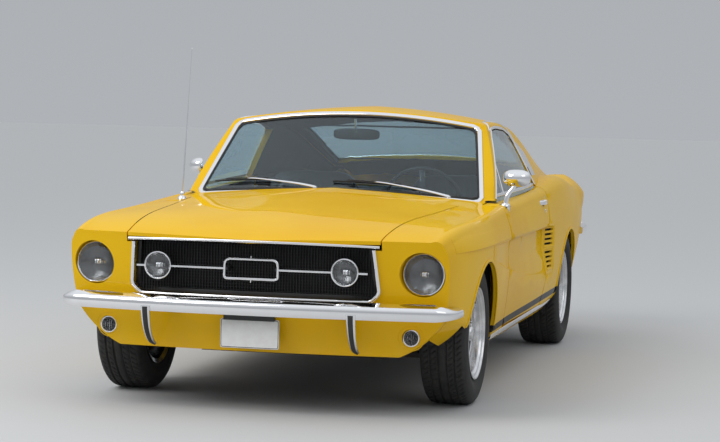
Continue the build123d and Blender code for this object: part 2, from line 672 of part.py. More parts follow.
BULKHEAD = 1385.0
COWL_UNDER_GLASS = 30.0
cowl = SKIN_SHELL & slab((-DOOR_INNER_X, DOOR_INNER_X), (HOOD_REAR - 60, 1760), (780, 1000))
cowl -= slab((-1000, -DOOR_INNER_X + DOOR_GAP), (DOOR_FRONT - DOOR_GAP, 2000), (700, 1000))
cowl -= slab((DOOR_INNER_X - DOOR_GAP, 1000), (DOOR_FRONT - DOOR_GAP, 2000), (700, 1000))
cowl = (cowl & ahead_of_screen(COWL_UNDER_GLASS)) - plan_prism(hood_outline(PANEL_GAP), (500, 1000))
bulkhead = slab((-FLOOR_HALF, FLOOR_HALF), (BULKHEAD, BULKHEAD + 15), (FLOOR_Z, 890)) & lower_body(SKIN)
bulkhead -= slab((-TUNNEL_HALF, TUNNEL_HALF), (BULKHEAD - 10, BULKHEAD + 30), (0, TUNNEL_TOP))
write("cowl", cowl, bulkhead)

APRON_X = 446.0
SPLASH_FRONT, SPLASH_REAR = FRONT_AXLE - 395, FRONT_AXLE + 395
apron = slab((APRON_X - 8, APRON_X), (NOSE_SEAM, BULKHEAD), (300, 742))
apron += slab((APRON_X - 8, 700), (SPLASH_FRONT - 10, SPLASH_REAR + 10), (734, 742))
for station in (SPLASH_FRONT, SPLASH_REAR):
    apron += slab((APRON_X - 8, 822), (station - 4, station + 4), (300, 742))
apron &= lower_body(SKIN)
RADIATOR = (300.0, 360.0)
support = slab((-APRON_X, APRON_X), RADIATOR, (330, 730))
write("front_structure", apron + mirrored(apron) + support)

# Engine, driveline, tank and exhaust
CRANK_Z = 430.0
ENGINE = (600.0, 1250.0)
engine = slab((-180, 180), ENGINE, (260, 600)) + slab((-260, 260), (640, 1180), (520, 700))
write("engine_block", engine)
gearbox = slab((-95, 95), (ENGINE[1], 1800), (262, 385)) + long_cylinder(0, TYRE_RADIUS, 38, (1800, REAR_AXLE - 125))
write("driveline", gearbox)
write("fuel_tank", slab((-330, 330), (3990, 4400), (330, SHELF_Z)))
pipes = []
for side in (-1, 1):
    muffler = slab((side * 260 - 90, side * 260 + 90), (2300, 2800), (150, 240))
    pipes.append(long_cylinder(side * 260, 205, 26, (1300, 4450)) + muffler)
write("exhaust", *pipes)

# Rear axle on leaf springs
axle = cross_cylinder(REAR_AXLE, TYRE_RADIUS, 38, (-TRACK / 2 + 40, TRACK / 2 - 40))
axle += cross_cylinder(REAR_AXLE, TYRE_RADIUS, 125, (-95, 95))
SPRING_X = 540.0
springs = [slab((side * SPRING_X - 32, side * SPRING_X + 32), (3000, 4180), (TYRE_RADIUS - 78, TYRE_RADIUS - 38))
           for side in (-1, 1)]

# Front crossmember and arms
member = slab((-420, 420), (FRONT_AXLE - 50, FRONT_AXLE + 50), (190, 250))
for side in (-1, 1):
    member += slab((side * 520 - 110, side * 520 + 110), (FRONT_AXLE - 35, FRONT_AXLE + 35), (200, 222))
write("front_suspension", member)

# Cabin
seat_z = 300.0
seats = []
for side in (-1, 1):
    x = side * 390
    cushion = slab((x - 250, x + 250), (2080, 2580), (FLOOR_Z + FLOOR_WALL, 480))
    back = side_prism([(2480, 480), (2580, 480), (2700, 960), (2620, 960)], (x - 240, x + 240))
    seats.append(cushion + back)
write("front_seats", *seats)
rear_cushion = slab((-560, 560), (2985, 3330), (SHELF_Z + FLOOR_WALL + 6, 580))
rear_back = side_prism([(3330, 470), (3420, 470), (3520, 860), (3450, 860)], (-560, 560))
write("rear_seat", rear_cushion + rear_back)
dash = side_prism([(1500, 640), (1700, 640), (1740, 770), (1700, 866), (1500, 866)], (-700, 700))
wheel_plane = Plane(origin=(370, y_at(1880), 840), z_dir=(0, 0.9, 0.42))
rim_section = Plane.XZ * Pos(190, 0) * RegularPolygon(12, 6)
steering = wheel_plane * revolve(rim_section, Axis.Z, 360)
steering += wheel_plane * Box(360, 26, 8)
steering += wheel_plane * Cylinder(32, 40)
column = wheel_plane * Pos(0, 0, -140) * Cylinder(20, 260)
write("steering_wheel", steering + column)
write("dashboard", (dash & lower_body(SKIN)) - column)

# Wipers and antenna
wipers = [slab((x - 420, x), (1446, 1458), (922, 930)) for x in (10, 580)]
write("wipers", *[w - OUTER for w in wipers])
ANTENNA = (-670.0, 1212.0, 852.0)
ANTENNA_TOP = (-638.0, 1224.0, 1570.0)
foot = Vector(ANTENNA[0], y_at(ANTENNA[1]), ANTENNA[2])
lean = Vector(ANTENNA_TOP[0], y_at(ANTENNA_TOP[1]), ANTENNA_TOP[2]) - foot
mast = Solid.make_cylinder(3, lean.length, Plane(origin=foot, z_dir=lean))
mast += Solid.make_cylinder(14, 30, Plane(origin=foot, z_dir=lean))
write("antenna", mast - OUTER)


# Wheels, each turning on a spindle
SPINDLE_RADIUS = 22.0
SPINDLE_GAP = 0.5
WHEEL_X = TRACK / 2
HUB_FACE = 18.0


def spin(points, station):
    """Ring round the left wheel's axis of an outline given as (distance from the wheel's plane, radius) points."""
    outline = [(WHEEL_X + w, y_at(station), TYRE_RADIUS + r) for w, r in points]
    axis = Axis((0, y_at(station), TYRE_RADIUS), (1, 0, 0))
    return revolve(Face(Wire.make_polygon(outline, close=True)), axis, 360)


def tyre_ring(distance, radius, station):
    """Wire of one edge round the tyre, at a distance from the wheel's plane, with a flat at the bottom."""
    ring = Plane(origin=(WHEEL_X + distance, y_at(station), TYRE_RADIUS), x_dir=(0, 0, 1), z_dir=(1, 0, 0))
    flat_down = Rot(0, 0, 180 / TYRE_SIDES)
    return (ring * flat_down * RegularPolygon(radius, TYRE_SIDES, major_radius=False)).wire()


def tyre(station, width):
    """Left tyre with a plain tread, made of short flats."""
    half = width / 2
    seat = RIM_WIDTH / 2
    side = [(seat, RIM_LIP_RADIUS + 3), (half, 254), (half - 5, 290), (half - 24, TYRE_RADIUS)]
    section = [(-w, r) for w, r in side] + list(reversed(side))
    body = Solid.make_loft([tyre_ring(w, r, station) for w, r in section], ruled=True)
    bore = [tyre_ring(w, RIM_RADIUS, station) for w in (-width, width)]
    return body - Solid.make_loft(bore, ruled=True)


def rim(station):
    """Left rim: barrel with lips, and a face of five spokes round a hub that runs on the spindle."""
    seat = RIM_WIDTH / 2
    barrel = spin([(-seat, RIM_RADIUS), (-seat, RIM_LIP_RADIUS), (-seat - 7, RIM_LIP_RADIUS), (-seat - 7, 178),
                   (seat + 7, 178), (seat + 7, RIM_LIP_RADIUS), (seat, RIM_LIP_RADIUS), (seat, RIM_RADIUS)], station)
    hub = spin([(HUB_FACE, SPINDLE_RADIUS + SPINDLE_GAP), (HUB_FACE, 62), (HUB_FACE + 44, 62),
                (HUB_FACE + 50, 40), (HUB_FACE + 50, SPINDLE_RADIUS + SPINDLE_GAP)], station)
    wheel = barrel + hub
    for number in range(SPOKES):
        arm = Pos(WHEEL_X + HUB_FACE + 24, 0, 118) * Box(26, 54, 132)
        turned = Pos(0, y_at(station), TYRE_RADIUS) * Rot(number * 360 / SPOKES, 0, 0) * arm
        wheel += turned
    cap = spin([(HUB_FACE + 50, 0), (HUB_FACE + 50, 40), (HUB_FACE + 64, 30), (HUB_FACE + 64, 0)], station)
    return wheel + cap


def knuckle():
    """Left front knuckle with its spindle and brake disc."""
    post = Pos(KINGPIN_X, y_at(FRONT_AXLE), 329) * Cylinder(20, 202)
    disc = cross_cylinder(FRONT_AXLE, TYRE_RADIUS, 140, (WHEEL_X - 34, WHEEL_X - 12))
    stub = cross_cylinder(FRONT_AXLE, TYRE_RADIUS, 34, (KINGPIN_X, WHEEL_X + HUB_FACE - 2))
    pin = cross_cylinder(FRONT_AXLE, TYRE_RADIUS, SPINDLE_RADIUS, (KINGPIN_X, WHEEL_X + HUB_FACE + 44))
    return post + disc + stub + pin


for place, station, width in (("front", FRONT_AXLE, TYRE_WIDTH), ("rear", REAR_AXLE, REAR_TYRE_WIDTH)):
    write_pair(f"tyre_{place}", tyre(station, width))
    write_pair(f"rim_{place}", rim(station))
write_pair("knuckle", knuckle())
rear_hub = cross_cylinder(REAR_AXLE, TYRE_RADIUS, 110, (WHEEL_X - 60, WHEEL_X - 12))
rear_hub += cross_cylinder(REAR_AXLE, TYRE_RADIUS, 34, (WHEEL_X - 12, WHEEL_X + HUB_FACE - 2))
rear_hub += cross_cylinder(REAR_AXLE, TYRE_RADIUS, SPINDLE_RADIUS, (WHEEL_X - 12, WHEEL_X + HUB_FACE + 44))
write("rear_axle", axle + springs[0] + springs[1] + rear_hub + mirrored(rear_hub))
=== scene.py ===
"""Fastback muscle car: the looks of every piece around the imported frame. Metres, +Z up, front towards -Y.

A station is a distance behind the front bumper's face, as in the part's own source.
"""
import json
import math
import bmesh
import bpy
import numpy as np
from mathutils import Matrix, Vector
from mathutils.bvhtree import BVHTree


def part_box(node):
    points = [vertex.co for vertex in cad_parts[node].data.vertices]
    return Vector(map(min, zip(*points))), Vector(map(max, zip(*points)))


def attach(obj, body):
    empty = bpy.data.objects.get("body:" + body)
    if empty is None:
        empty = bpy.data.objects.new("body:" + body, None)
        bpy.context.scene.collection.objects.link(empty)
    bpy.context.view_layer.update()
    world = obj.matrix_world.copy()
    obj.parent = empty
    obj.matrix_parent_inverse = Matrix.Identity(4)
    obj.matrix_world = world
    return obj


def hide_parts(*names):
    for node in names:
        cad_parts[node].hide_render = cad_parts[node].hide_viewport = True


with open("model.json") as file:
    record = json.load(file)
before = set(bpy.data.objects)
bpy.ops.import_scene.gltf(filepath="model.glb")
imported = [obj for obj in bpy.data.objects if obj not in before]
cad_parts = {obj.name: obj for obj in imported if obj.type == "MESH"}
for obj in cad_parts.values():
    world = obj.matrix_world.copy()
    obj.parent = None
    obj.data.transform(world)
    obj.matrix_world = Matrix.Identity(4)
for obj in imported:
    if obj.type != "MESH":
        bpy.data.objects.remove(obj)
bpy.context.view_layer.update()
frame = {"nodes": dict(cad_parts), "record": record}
NODES = frame["nodes"]

# Overall length, stations of the axles, a tyre's radius, and x of a wheel's middle plane
LENGTH = 4.663
FRONT_AXLE = 0.815
REAR_AXLE = 3.558
TYRE_RADIUS = 0.318
WHEEL_X = 0.738
# X from which rays are sent at a side of the car, and the thickness of a sheet laid on its skin
BESIDE = 1.2
SHEET = 0.003

# Camera, as worked out from the photograph with a sensor 36 mm wide; the turns are in degrees
CAMERA_PLACE = (2.526, -11.205, 1.325)
CAMERA_YAW, CAMERA_PITCH, CAMERA_ROLL = -12.985, -3.036, 1.362
CAMERA_LENS = 111.1


def y_at(station):
    """Y of a station."""
    return station - LENGTH / 2


# Camera, light and floor

def add_camera():
    """Camera at the photograph's viewpoint: its look turned by yaw about Z, lifted by pitch, then rolled."""
    data = bpy.data.cameras.new("camera")
    data.lens = CAMERA_LENS
    data.sensor_width = 36.0
    data.clip_end = 200.0
    camera = bpy.data.objects.new("camera", data)
    bpy.context.scene.collection.objects.link(camera)
    yaw, pitch, roll = (math.radians(a) for a in (CAMERA_YAW, CAMERA_PITCH, CAMERA_ROLL))
    level = Vector((math.sin(yaw), math.cos(yaw), 0))
    side = Vector((math.cos(yaw), -math.sin(yaw), 0))
    look = level * math.cos(pitch) + Vector((0, 0, math.sin(pitch)))
    rise = Vector((0, 0, math.cos(pitch))) - level * math.sin(pitch)
    right = side * math.cos(roll) + rise * math.sin(roll)
    up = rise * math.cos(roll) - side * math.sin(roll)
    turn = Matrix((right, up, -look)).transposed()
    camera.matrix_world = Matrix.Translation(CAMERA_PLACE) @ turn.to_4x4()
    bpy.context.scene.camera = camera


def add_sky():
    """Studio sky by height: as pale as the floor at the horizon, and brighter towards the top."""
    world = bpy.data.worlds.new("studio_sky")
    world.use_nodes = True
    bpy.context.scene.world = world
    tree, background = world.node_tree, world.node_tree.nodes["Background"]
    ramp = add_node(tree, "ValToRGB", Fac=place_parts(tree, "Generated")["Z"])
    # Columns: sine of the height above the horizon; brightness
    stops = ((0.0, 0.62), (0.08, 0.60), (0.22, 0.78), (0.42, 0.95), (0.62, 1.15), (1.0, 1.25))
    while len(ramp.color_ramp.elements) < len(stops):
        ramp.color_ramp.elements.new(0.5)
    for element, (place_on_ramp, grey) in zip(ramp.color_ramp.elements, stops):
        element.position = place_on_ramp
        element.color = (grey * 0.96, grey, grey * 1.05, 1.0)
    tree.links.new(ramp.outputs["Color"], background.inputs["Color"])
    background.inputs["Strength"].default_value = 0.72


def add_lamp(name, place, size, watts):
    """Square soft lamp at a place, turned to the middle of the car."""
    data = bpy.data.lights.new(name, "AREA")
    data.shape = "RECTANGLE"
    data.size = data.size_y = size
    data.energy = watts
    lamp = bpy.data.objects.new(name, data)
    bpy.context.scene.collection.objects.link(lamp)
    lamp.location = place
    lamp.rotation_mode = "QUATERNION"
    lamp.rotation_quaternion = (Vector((0, 0, 0.5)) - Vector(place)).to_track_quat("-Z", "Y")


def add_floor():
    """Plain pale floor out to the horizon."""
    half = 90.0
    mesh = bpy.data.meshes.new("floor")
    mesh.from_pydata([(-half, -half, 0), (half, -half, 0), (half, half, 0), (-half, half, 0)], [], [(0, 1, 2, 3)])
    floor = bpy.data.objects.new("floor", mesh)
    bpy.context.scene.collection.objects.link(floor)
    mesh.materials.append(new_material("pale_floor", (0.54, 0.54, 0.535), 0.75)[0])


# Shared shader effects

def new_group(name, output, **inputs):
    """Empty shader group of numbers: inputs with their values, and one output."""
    group = bpy.data.node_groups.new(name, "ShaderNodeTree")
    for label, value in inputs.items():
        group.interface.new_socket(label, in_out="INPUT", socket_type="NodeSocketFloat").default_value = value
    group.interface.new_socket(output, in_out="OUTPUT", socket_type="NodeSocketFloat")
    return group, group.nodes.new("NodeGroupInput"), group.nodes.new("NodeGroupOutput")


def feed(tree, socket, value):
    """Give a socket a number or a colour, or link another socket to it."""
    if isinstance(value, bpy.types.NodeSocket):
        tree.links.new(value, socket)
    else:
        socket.default_value = value


def add_node(tree, kind, **inputs):
    """Node of a kind, with what its inputs get."""
    node = tree.nodes.new(f"ShaderNode{kind}")
    for label, value in inputs.items():
        feed(tree, node.inputs[label.replace("_", " ")], value)
    return node


def place_parts(tree, kind="Object"):
    """X, Y and Z sockets of the texture coordinates of a kind."""
    return add_node(tree, "SeparateXYZ", Vector=add_node(tree, "TexCoord").outputs[kind]).outputs


def math_node(tree, kind, a, b=0.0, clamp=False):
    """Math node on two sockets or numbers, and its result."""
    node = add_node(tree, "Math")
    node.operation = kind
    node.use_clamp = clamp
    feed(tree, node.inputs[0], a)
    feed(tree, node.inputs[1], b)
    return node.outputs[0]


def times(tree, a, b, clamp=False):
    """Product of two sockets or numbers."""
    return math_node(tree, "MULTIPLY", a, b, clamp)


def plus(tree, a, b):
    """Sum of two sockets or numbers."""
    return math_node(tree, "ADD", a, b)


def mix_colors(tree, share, a, b):
    """Colour between a and b by share."""
    node = add_node(tree, "Mix")
    node.data_type = "RGBA"
    for number, value in ((0, share), (6, a), (7, b)):
        feed(tree, node.inputs[number], value)
    return node.outputs[2]


def noise(tree, scale, detail):
    """Noise on Object coordinates."""
    place = add_node(tree, "TexCoord").outputs["Object"]
    return add_node(tree, "TexNoise", Vector=place, Scale=scale, Detail=detail).outputs["Fac"]


def ramped(tree, value, low, high):
    """Value mapped from low..high to 0..1 and clamped, by a smooth step."""
    node = add_node(tree, "MapRange", Value=value, From_Min=low, From_Max=high)
    node.interpolation_type = "SMOOTHSTEP"
    return node.outputs["Result"]


def build_road_dust():
    """Group: road dust as a mask, thick near the ground and patchy by noise."""
    group, source, result = new_group("road_dust", "Mask", Top=0.45, Amount=0.5)
    depth = math_node(group, "DIVIDE", place_parts(group)["Z"], source.outputs["Top"])
    low = math_node(group, "SUBTRACT", 1.0, depth, clamp=True)
    patches = ramped(group, noise(group, 9.0, 5.0), 0.35, 0.75)
    mask = times(group, low, plus(group, patches, 0.25))
    mask = times(group, mask, source.outputs["Amount"], clamp=True)
    group.links.new(mask, result.inputs["Mask"])
    return group


def build_fine_bump():
    """Group: height of a fine grain, of a coarser waviness added to it, for a Bump node."""
    group, source, result = new_group("fine_grain", "Height", Grain=0.5, Wave=0.5)
    grain = times(group, noise(group, 900.0, 2.0), source.outputs["Grain"])
    wave = times(group, noise(group, 24.0, 2.0), source.outputs["Wave"])
    group.links.new(plus(group, grain, wave), result.inputs["Height"])
    return group


ROAD_DUST = build_road_dust()
FINE_BUMP = build_fine_bump()


def use_group(tree, group, output, **values):
    """Output of a node of a shared group with its own values."""
    node = tree.nodes.new("ShaderNodeGroup")
    node.node_tree = group
    for label, value in values.items():
        node.inputs[label].default_value = value
    return node.outputs[output]


def new_material(name, color, roughness, metallic=0.0, **extra):
    """Principled material with its plain values set on the shader."""
    material = bpy.data.materials.new(name)
    material.use_nodes = True
    shader = material.node_tree.nodes["Principled BSDF"]
    shader.inputs["Base Color"].default_value = (*color, 1.0)
    shader.inputs["Roughness"].default_value = roughness
    shader.inputs["Metallic"].default_value = metallic
    for label, value in extra.items():
        shader.inputs[label.replace("_", " ").title().replace("Ior", "IOR")].default_value = value
    return material, material.node_tree, shader


def add_bump(tree, shader, grain, wave, strength):
    """Bump of the shared grain on a shader."""
    height = use_group(tree, FINE_BUMP, "Height", Grain=grain, Wave=wave)
    bump = add_node(tree, "Bump", Strength=strength, Distance=0.0004, Height=height)
    tree.links.new(bump.outputs["Normal"], shader.inputs["Normal"])


PAINT = (0.80, 0.48, 0.010)
PAINT_DEEP = (0.76, 0.43, 0.006)
STRIPE_BLACK = (0.012, 0.012, 0.013)
# Rocker stripe: its lower and upper edge at the front end, its two ends, and its rise for each metre rearwards
STRIPE_LOW, STRIPE_HIGH = 0.303, 0.337
STRIPE_FRONT, STRIPE_REAR = 1.140, 3.240
STRIPE_RISE = 0.012


def band(tree, value, low, high, edge=0.001):
    """Mask that is 1 where a value lies between low and high, with soft edges."""
    inside = math_node(tree, "SUBTRACT", 1.0, ramped(tree, value, high - edge, high))
    return times(tree, ramped(tree, value, low, low + edge), inside)


def build_paint():
    """Golden yellow gloss paint, with a black stripe along the rocker and dust low down."""
    material, tree, shader = new_material("golden_paint", PAINT, 0.34, specular_ior_level=0.0, coat_weight=0.4,
                                          coat_roughness=0.03, coat_ior=1.34)
    dust = use_group(tree, ROAD_DUST, "Mask", Top=0.42, Amount=0.22)
    tone = mix_colors(tree, ramped(tree, noise(tree, 1.7, 3.0), 0.35, 0.65), (*PAINT, 1), (*PAINT_DEEP, 1))
    x, y, z = place_parts(tree)
    level = math_node(tree, "SUBTRACT", z, times(tree, y, STRIPE_RISE))
    stripe = times(tree, band(tree, level, STRIPE_LOW, STRIPE_HIGH),
                   band(tree, y, y_at(STRIPE_FRONT), y_at(STRIPE_REAR)))
    side = ramped(tree, math_node(tree, "ABSOLUTE", x), 0.78, 0.79)
    striped = mix_colors(tree, times(tree, stripe, side), tone, (*STRIPE_BLACK, 1))
    tree.links.new(mix_colors(tree, dust, striped, (0.42, 0.33, 0.2, 1)), shader.inputs["Base Color"])
    tree.links.new(plus(tree, 0.34, times(tree, dust, 0.4)), shader.inputs["Roughness"])
    add_bump(tree, shader, 0.4, 1.0, 0.05)
    return material


def build_chrome():
    """Bright chrome with faint haze and dust low down."""
    material, tree, shader = new_material("chrome", (0.86, 0.86, 0.87), 0.05, metallic=1.0)
    dust = use_group(tree, ROAD_DUST, "Mask", Top=0.6, Amount=0.22)
    haze = times(tree, ramped(tree, noise(tree, 14.0, 5.0), 0.45, 0.8), 0.05)
    tree.links.new(plus(tree, plus(tree, haze, 0.035), times(tree, dust, 0.3)),
                   shader.inputs["Roughness"])
    tree.links.new(mix_colors(tree, dust, (0.86, 0.86, 0.87, 1), (0.45, 0.42, 0.38, 1)), shader.inputs["Base Color"])
    return material


def build_plain(name, color, other, roughness, drift, grain, strength, metallic=0.0):
    """Everyday finish: colour and roughness drift slowly between two close tones, and a fine grain."""
    material, tree, shader = new_material(name, color, roughness, metallic=metallic)
    share = times(tree, ramped(tree, noise(tree, 30.0, 4.0), 0.3, 0.7), 0.8)
    tree.links.new(mix_colors(tree, share, (*color, 1), (*other, 1)), shader.inputs["Base Color"])
    tree.links.new(plus(tree, times(tree, share, drift), roughness), shader.inputs["Roughness"])
    add_bump(tree, shader, grain, 0.3, strength)
    return material


def build_glass(name, tint, roughness=0.0):
    """Clear glass of one tint."""
    return new_material(name, tint, roughness, transmission_weight=1.0, ior=1.45)[0]


# Columns: slot, name, two close tones, roughness, its drift, grain, strength of the bump, and metallic
PLAIN_FINISHES = (
    ("black_trim", "satin_black", (0.016, 0.016, 0.017), (0.026, 0.025, 0.024), 0.42, 0.2, 0.5, 0.2, 0.0),
    ("underbody_paint", "underbody_black", (0.018, 0.018, 0.018), (0.05, 0.045, 0.04), 0.6, 0.3, 1.0, 0.4, 0.0),
    ("cast_iron", "dark_iron", (0.05, 0.048, 0.046), (0.10, 0.085, 0.07), 0.55, 0.3, 1.0, 0.5, 0.6),
    ("pipe_steel", "pipe_steel", (0.30, 0.29, 0.28), (0.2, 0.17, 0.14), 0.4, 0.3, 0.6, 0.3, 0.9),
    ("black_vinyl", "black_vinyl", (0.022, 0.021, 0.021), (0.035, 0.033, 0.032), 0.45, 0.2, 1.0, 0.5, 0.0),
    ("tyre_rubber", "tyre_rubber", (0.014, 0.014, 0.014), (0.04, 0.038, 0.035), 0.72, 0.2, 1.0, 0.4, 0.0),
    ("wheel_alloy", "polished_alloy", (0.72, 0.72, 0.73), (0.6, 0.6, 0.6), 0.14, 0.16, 0.3, 0.1, 1.0),
    # pocket_black: real black paint in the wheels' pockets, on the dial faces and lamp bodies, and painted shade in the
    # scoop slots and under the pillar louvres.
    ("pocket_black", "pocket_black", (0.014, 0.014, 0.015), (0.03, 0.03, 0.03), 0.35, 0.2, 0.4, 0.1, 0.0),
    ("grille_black", "grille_black", (0.010, 0.010, 0.011), (0.02, 0.02, 0.02), 0.45, 0.2, 0.4, 0.1, 0.0),
    ("rubber_black", "rubber_black", (0.012, 0.012, 0.012), (0.025, 0.025, 0.024), 0.6, 0.2, 0.6, 0.2, 0.0),
    # Reflector: grey metal far darker than a real lamp reflector, painted shade inside the lamps; the mirrors' glass
    # takes it too.
    ("reflector", "shade_darkened_reflector", (0.16, 0.163, 0.165), (0.10, 0.102, 0.104), 0.12, 0.1, 0.2, 0.1, 1.0),
    ("plate_white", "plate_white", (0.72, 0.72, 0.70), (0.66, 0.65, 0.62), 0.35, 0.2, 0.4, 0.05, 0.0),
    ("headlining", "headlining", (0.05, 0.05, 0.05), (0.07, 0.07, 0.068), 0.8, 0.1, 1.0, 0.4, 0.0),
)
MATERIALS = {slot: build_plain(*finish) for slot, *finish in PLAIN_FINISHES}
MATERIALS["body_paint"] = build_paint()
MATERIALS["chrome_trim"] = build_chrome()
MATERIALS["lamp_glass"] = build_glass("clear_lens", (0.96, 0.97, 0.98))
# Window glass: its blue is partly the glass's own tint and partly painted sky reflection.
MATERIALS["window_glass"] = build_glass("tint_and_painted_sky_glass", (0.68, 0.86, 0.93))
MATERIALS["red_lens"] = build_glass("ruby_lens", (0.62, 0.02, 0.02), 0.08)


def build_rounding():
    """Modifier tree for the panels: joins loose triangles, shades them smooth and keeps edges over 32 degrees."""
    tree = bpy.data.node_groups.new("panel_rounding", "GeometryNodeTree")
    tree.interface.new_socket("Geometry", in_out="INPUT", socket_type="NodeSocketGeometry")
    tree.interface.new_socket("Geometry", in_out="OUTPUT", socket_type="NodeSocketGeometry")
    source, result = tree.nodes.new("NodeGroupInput"), tree.nodes.new("NodeGroupOutput")
    merge = tree.nodes.new("GeometryNodeMergeByDistance")
    merge.inputs["Distance"].default_value = 0.00002
    smooth = tree.nodes.new("GeometryNodeSetShadeSmooth")
    sharp = tree.nodes.new("GeometryNodeSetShadeSmooth")
    sharp.domain = "EDGE"
    sharp.inputs["Shade Smooth"].default_value = False
    angle = tree.nodes.new("GeometryNodeInputMeshEdgeAngle")
    over = tree.nodes.new("FunctionNodeCompare")
    over.inputs[1].default_value = math.radians(32)
    tree.links.new(angle.outputs["Unsigned Angle"], over.inputs[0])
    tree.links.new(over.outputs[0], sharp.inputs["Selection"])
    for a, b in ((source, merge), (merge, smooth), (smooth, sharp), (sharp, result)):
        tree.links.new(a.outputs[0], b.inputs[0])
    return tree


def finish_frame():
    """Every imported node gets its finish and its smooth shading."""
    rounding = build_rounding()
    slots = {row["node"]: row["material_slot"] for row in frame["record"]["subparts"]}
    for name, node in NODES.items():
        node.data.materials.clear()
        node.data.materials.append(MATERIALS[slots[name]])
        modifier = node.modifiers.new("panel_rounding", "NODES")
        modifier.node_group = rounding


# Mesh helpers

class Patches:
    """Faces of one piece, gathered patch by patch, each with the number of its material."""

    def __init__(self):
        self.points = []
        self.faces = []
        self.kinds = []
        self.count = 0

    def add(self, points, wrap_u=False, wrap_v=False, kind=0):
        """Grid of points (rows, columns, 3) as quads; wrap joins the last row or column to the first. kind is one
        number, or one for each face."""
        rows, columns = points.shape[:2]
        index = np.arange(rows * columns).reshape(rows, columns) + self.count
        if wrap_u:
            index = np.vstack([index, index[:1]])
        if wrap_v:
            index = np.hstack([index, index[:, :1]])
        quads = at(index[:-1, :-1], index[:-1, 1:], index[1:, 1:], index[1:, :-1]).reshape(-1, 4)
        self.points.append(points.reshape(-1, 3))
        self.faces.append(quads)
        self.kinds.append(np.broadcast_to(np.asarray(kind).reshape(-1), (len(quads),)))
        self.count += rows * columns
        return self


def add_piece(name, mesh, materials, body, replaces):
    """Object of a mesh that rides on a body and the nodes that it stands for."""
    for material in materials:
        mesh.materials.append(MATERIALS[material])
    piece = bpy.data.objects.new(name, mesh)
    bpy.context.scene.collection.objects.link(piece)
    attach(piece, body)
    if replaces:
        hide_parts(*replaces)
    return piece


def finish_piece(name, patches, materials=("chrome_trim",), body="body", slot=None, replaces=(), sharp=40.0):
    """Piece from patches: doubles merged, faces turned outwards, smooth with edges over sharp degrees. The slot
    argument is not used."""
    mesh = bpy.data.meshes.new(name)
    mesh.from_pydata(np.vstack(patches.points).tolist(), [], np.vstack(patches.faces).tolist())
    mesh.polygons.foreach_set("material_index", np.concatenate(patches.kinds).astype(np.int32))
    shape = bmesh.new()
    shape.from_mesh(mesh)
    bmesh.ops.remove_doubles(shape, verts=shape.verts, dist=1e-6)
    bmesh.ops.dissolve_degenerate(shape, edges=shape.edges, dist=1e-7)
    bmesh.ops.recalc_face_normals(shape, faces=shape.faces)
    shape.to_mesh(mesh)
    shape.free()
    mesh.shade_smooth()
    mesh.set_sharp_from_angle(angle=math.radians(sharp))
    return add_piece(name, mesh, materials, body, replaces)


def at(*coordinates):
    """Points from their coordinates, numbers or arrays of shapes that fit together."""
    return np.stack(np.broadcast_arrays(*coordinates), -1)


def whole_turn(count):
    """Angles of a whole turn in equal steps."""
    return np.linspace(0, 2 * np.pi, count, endpoint=False)


def unit(vectors):
    """Vectors scaled to length 1."""
    return vectors / np.maximum(np.linalg.norm(vectors, axis=-1, keepdims=True), 1e-12)


def spline(points, count):
    """Smooth curve through points, evenly spaced: Catmull-Rom cubics between each two."""
    points = np.asarray(points, float)
    ends = np.vstack([2 * points[0] - points[1], points, 2 * points[-1] - points[-2]])
    t = np.linspace(0, 1, 24, endpoint=False)[:, None, None]
    a, b, c, d = ends[:-3], ends[1:-2], ends[2:-1], ends[3:]
    cubic = 0.5 * (2 * b + (c - a) * t + (2 * a - 5 * b + 4 * c - d) * t ** 2 + (3 * b - a - 3 * c + d) * t ** 3)
    line = np.vstack([cubic.transpose(1, 0, 2).reshape(-1, points.shape[1]), points[-1:]])
    reach = np.concatenate([[0], np.cumsum(np.linalg.norm(np.diff(line, axis=0), axis=1))])
    wanted = np.linspace(0, reach[-1], count)
    return np.stack([np.interp(wanted, reach, line[:, k]) for k in range(line.shape[1])], -1)


def spread(points, step):
    """Points of a path with straight runs, every step or closer, its corners kept."""
    points = np.asarray(points, float)
    parts = []
    for a, b in zip(points, points[1:]):
        count = max(1, int(np.linalg.norm(b - a) / step))
        parts.append(a + (b - a) * np.linspace(0, 1, count, endpoint=False)[:, None])
    return np.vstack(parts + [points[-1:]])


def rounded(corners, radius, steps=7, closed=True):
    """Path with its corners cut by quadratic curves that start radius before each corner."""
    corners = np.asarray(corners, float)
    count = len(corners)
    t = np.linspace(0, 1, steps)[:, None]
    parts = []
    for i, corner in enumerate(corners):
        if not closed and i in (0, count - 1):
            parts.append(corner[None])
            continue
        before, after = corners[i - 1], corners[(i + 1) % count]
        a = corner + unit(before - corner) * min(radius, 0.45 * np.linalg.norm(before - corner))
        b = corner + unit(after - corner) * min(radius, 0.45 * np.linalg.norm(after - corner))
        parts.append((1 - t) ** 2 * a + 2 * t * (1 - t) * corner + t ** 2 * b)
    return np.vstack(parts)


def oval(half_width, half_height, power=2.0, count=16):
    """Closed section |x/a|^p + |y/b|^p = 1, by angle."""
    angle = whole_turn(count)
    c, s = np.cos(angle), np.sin(angle)
    return at(half_width * np.sign(c) * np.abs(c) ** (2 / power),
              half_height * np.sign(s) * np.abs(s) ** (2 / power))


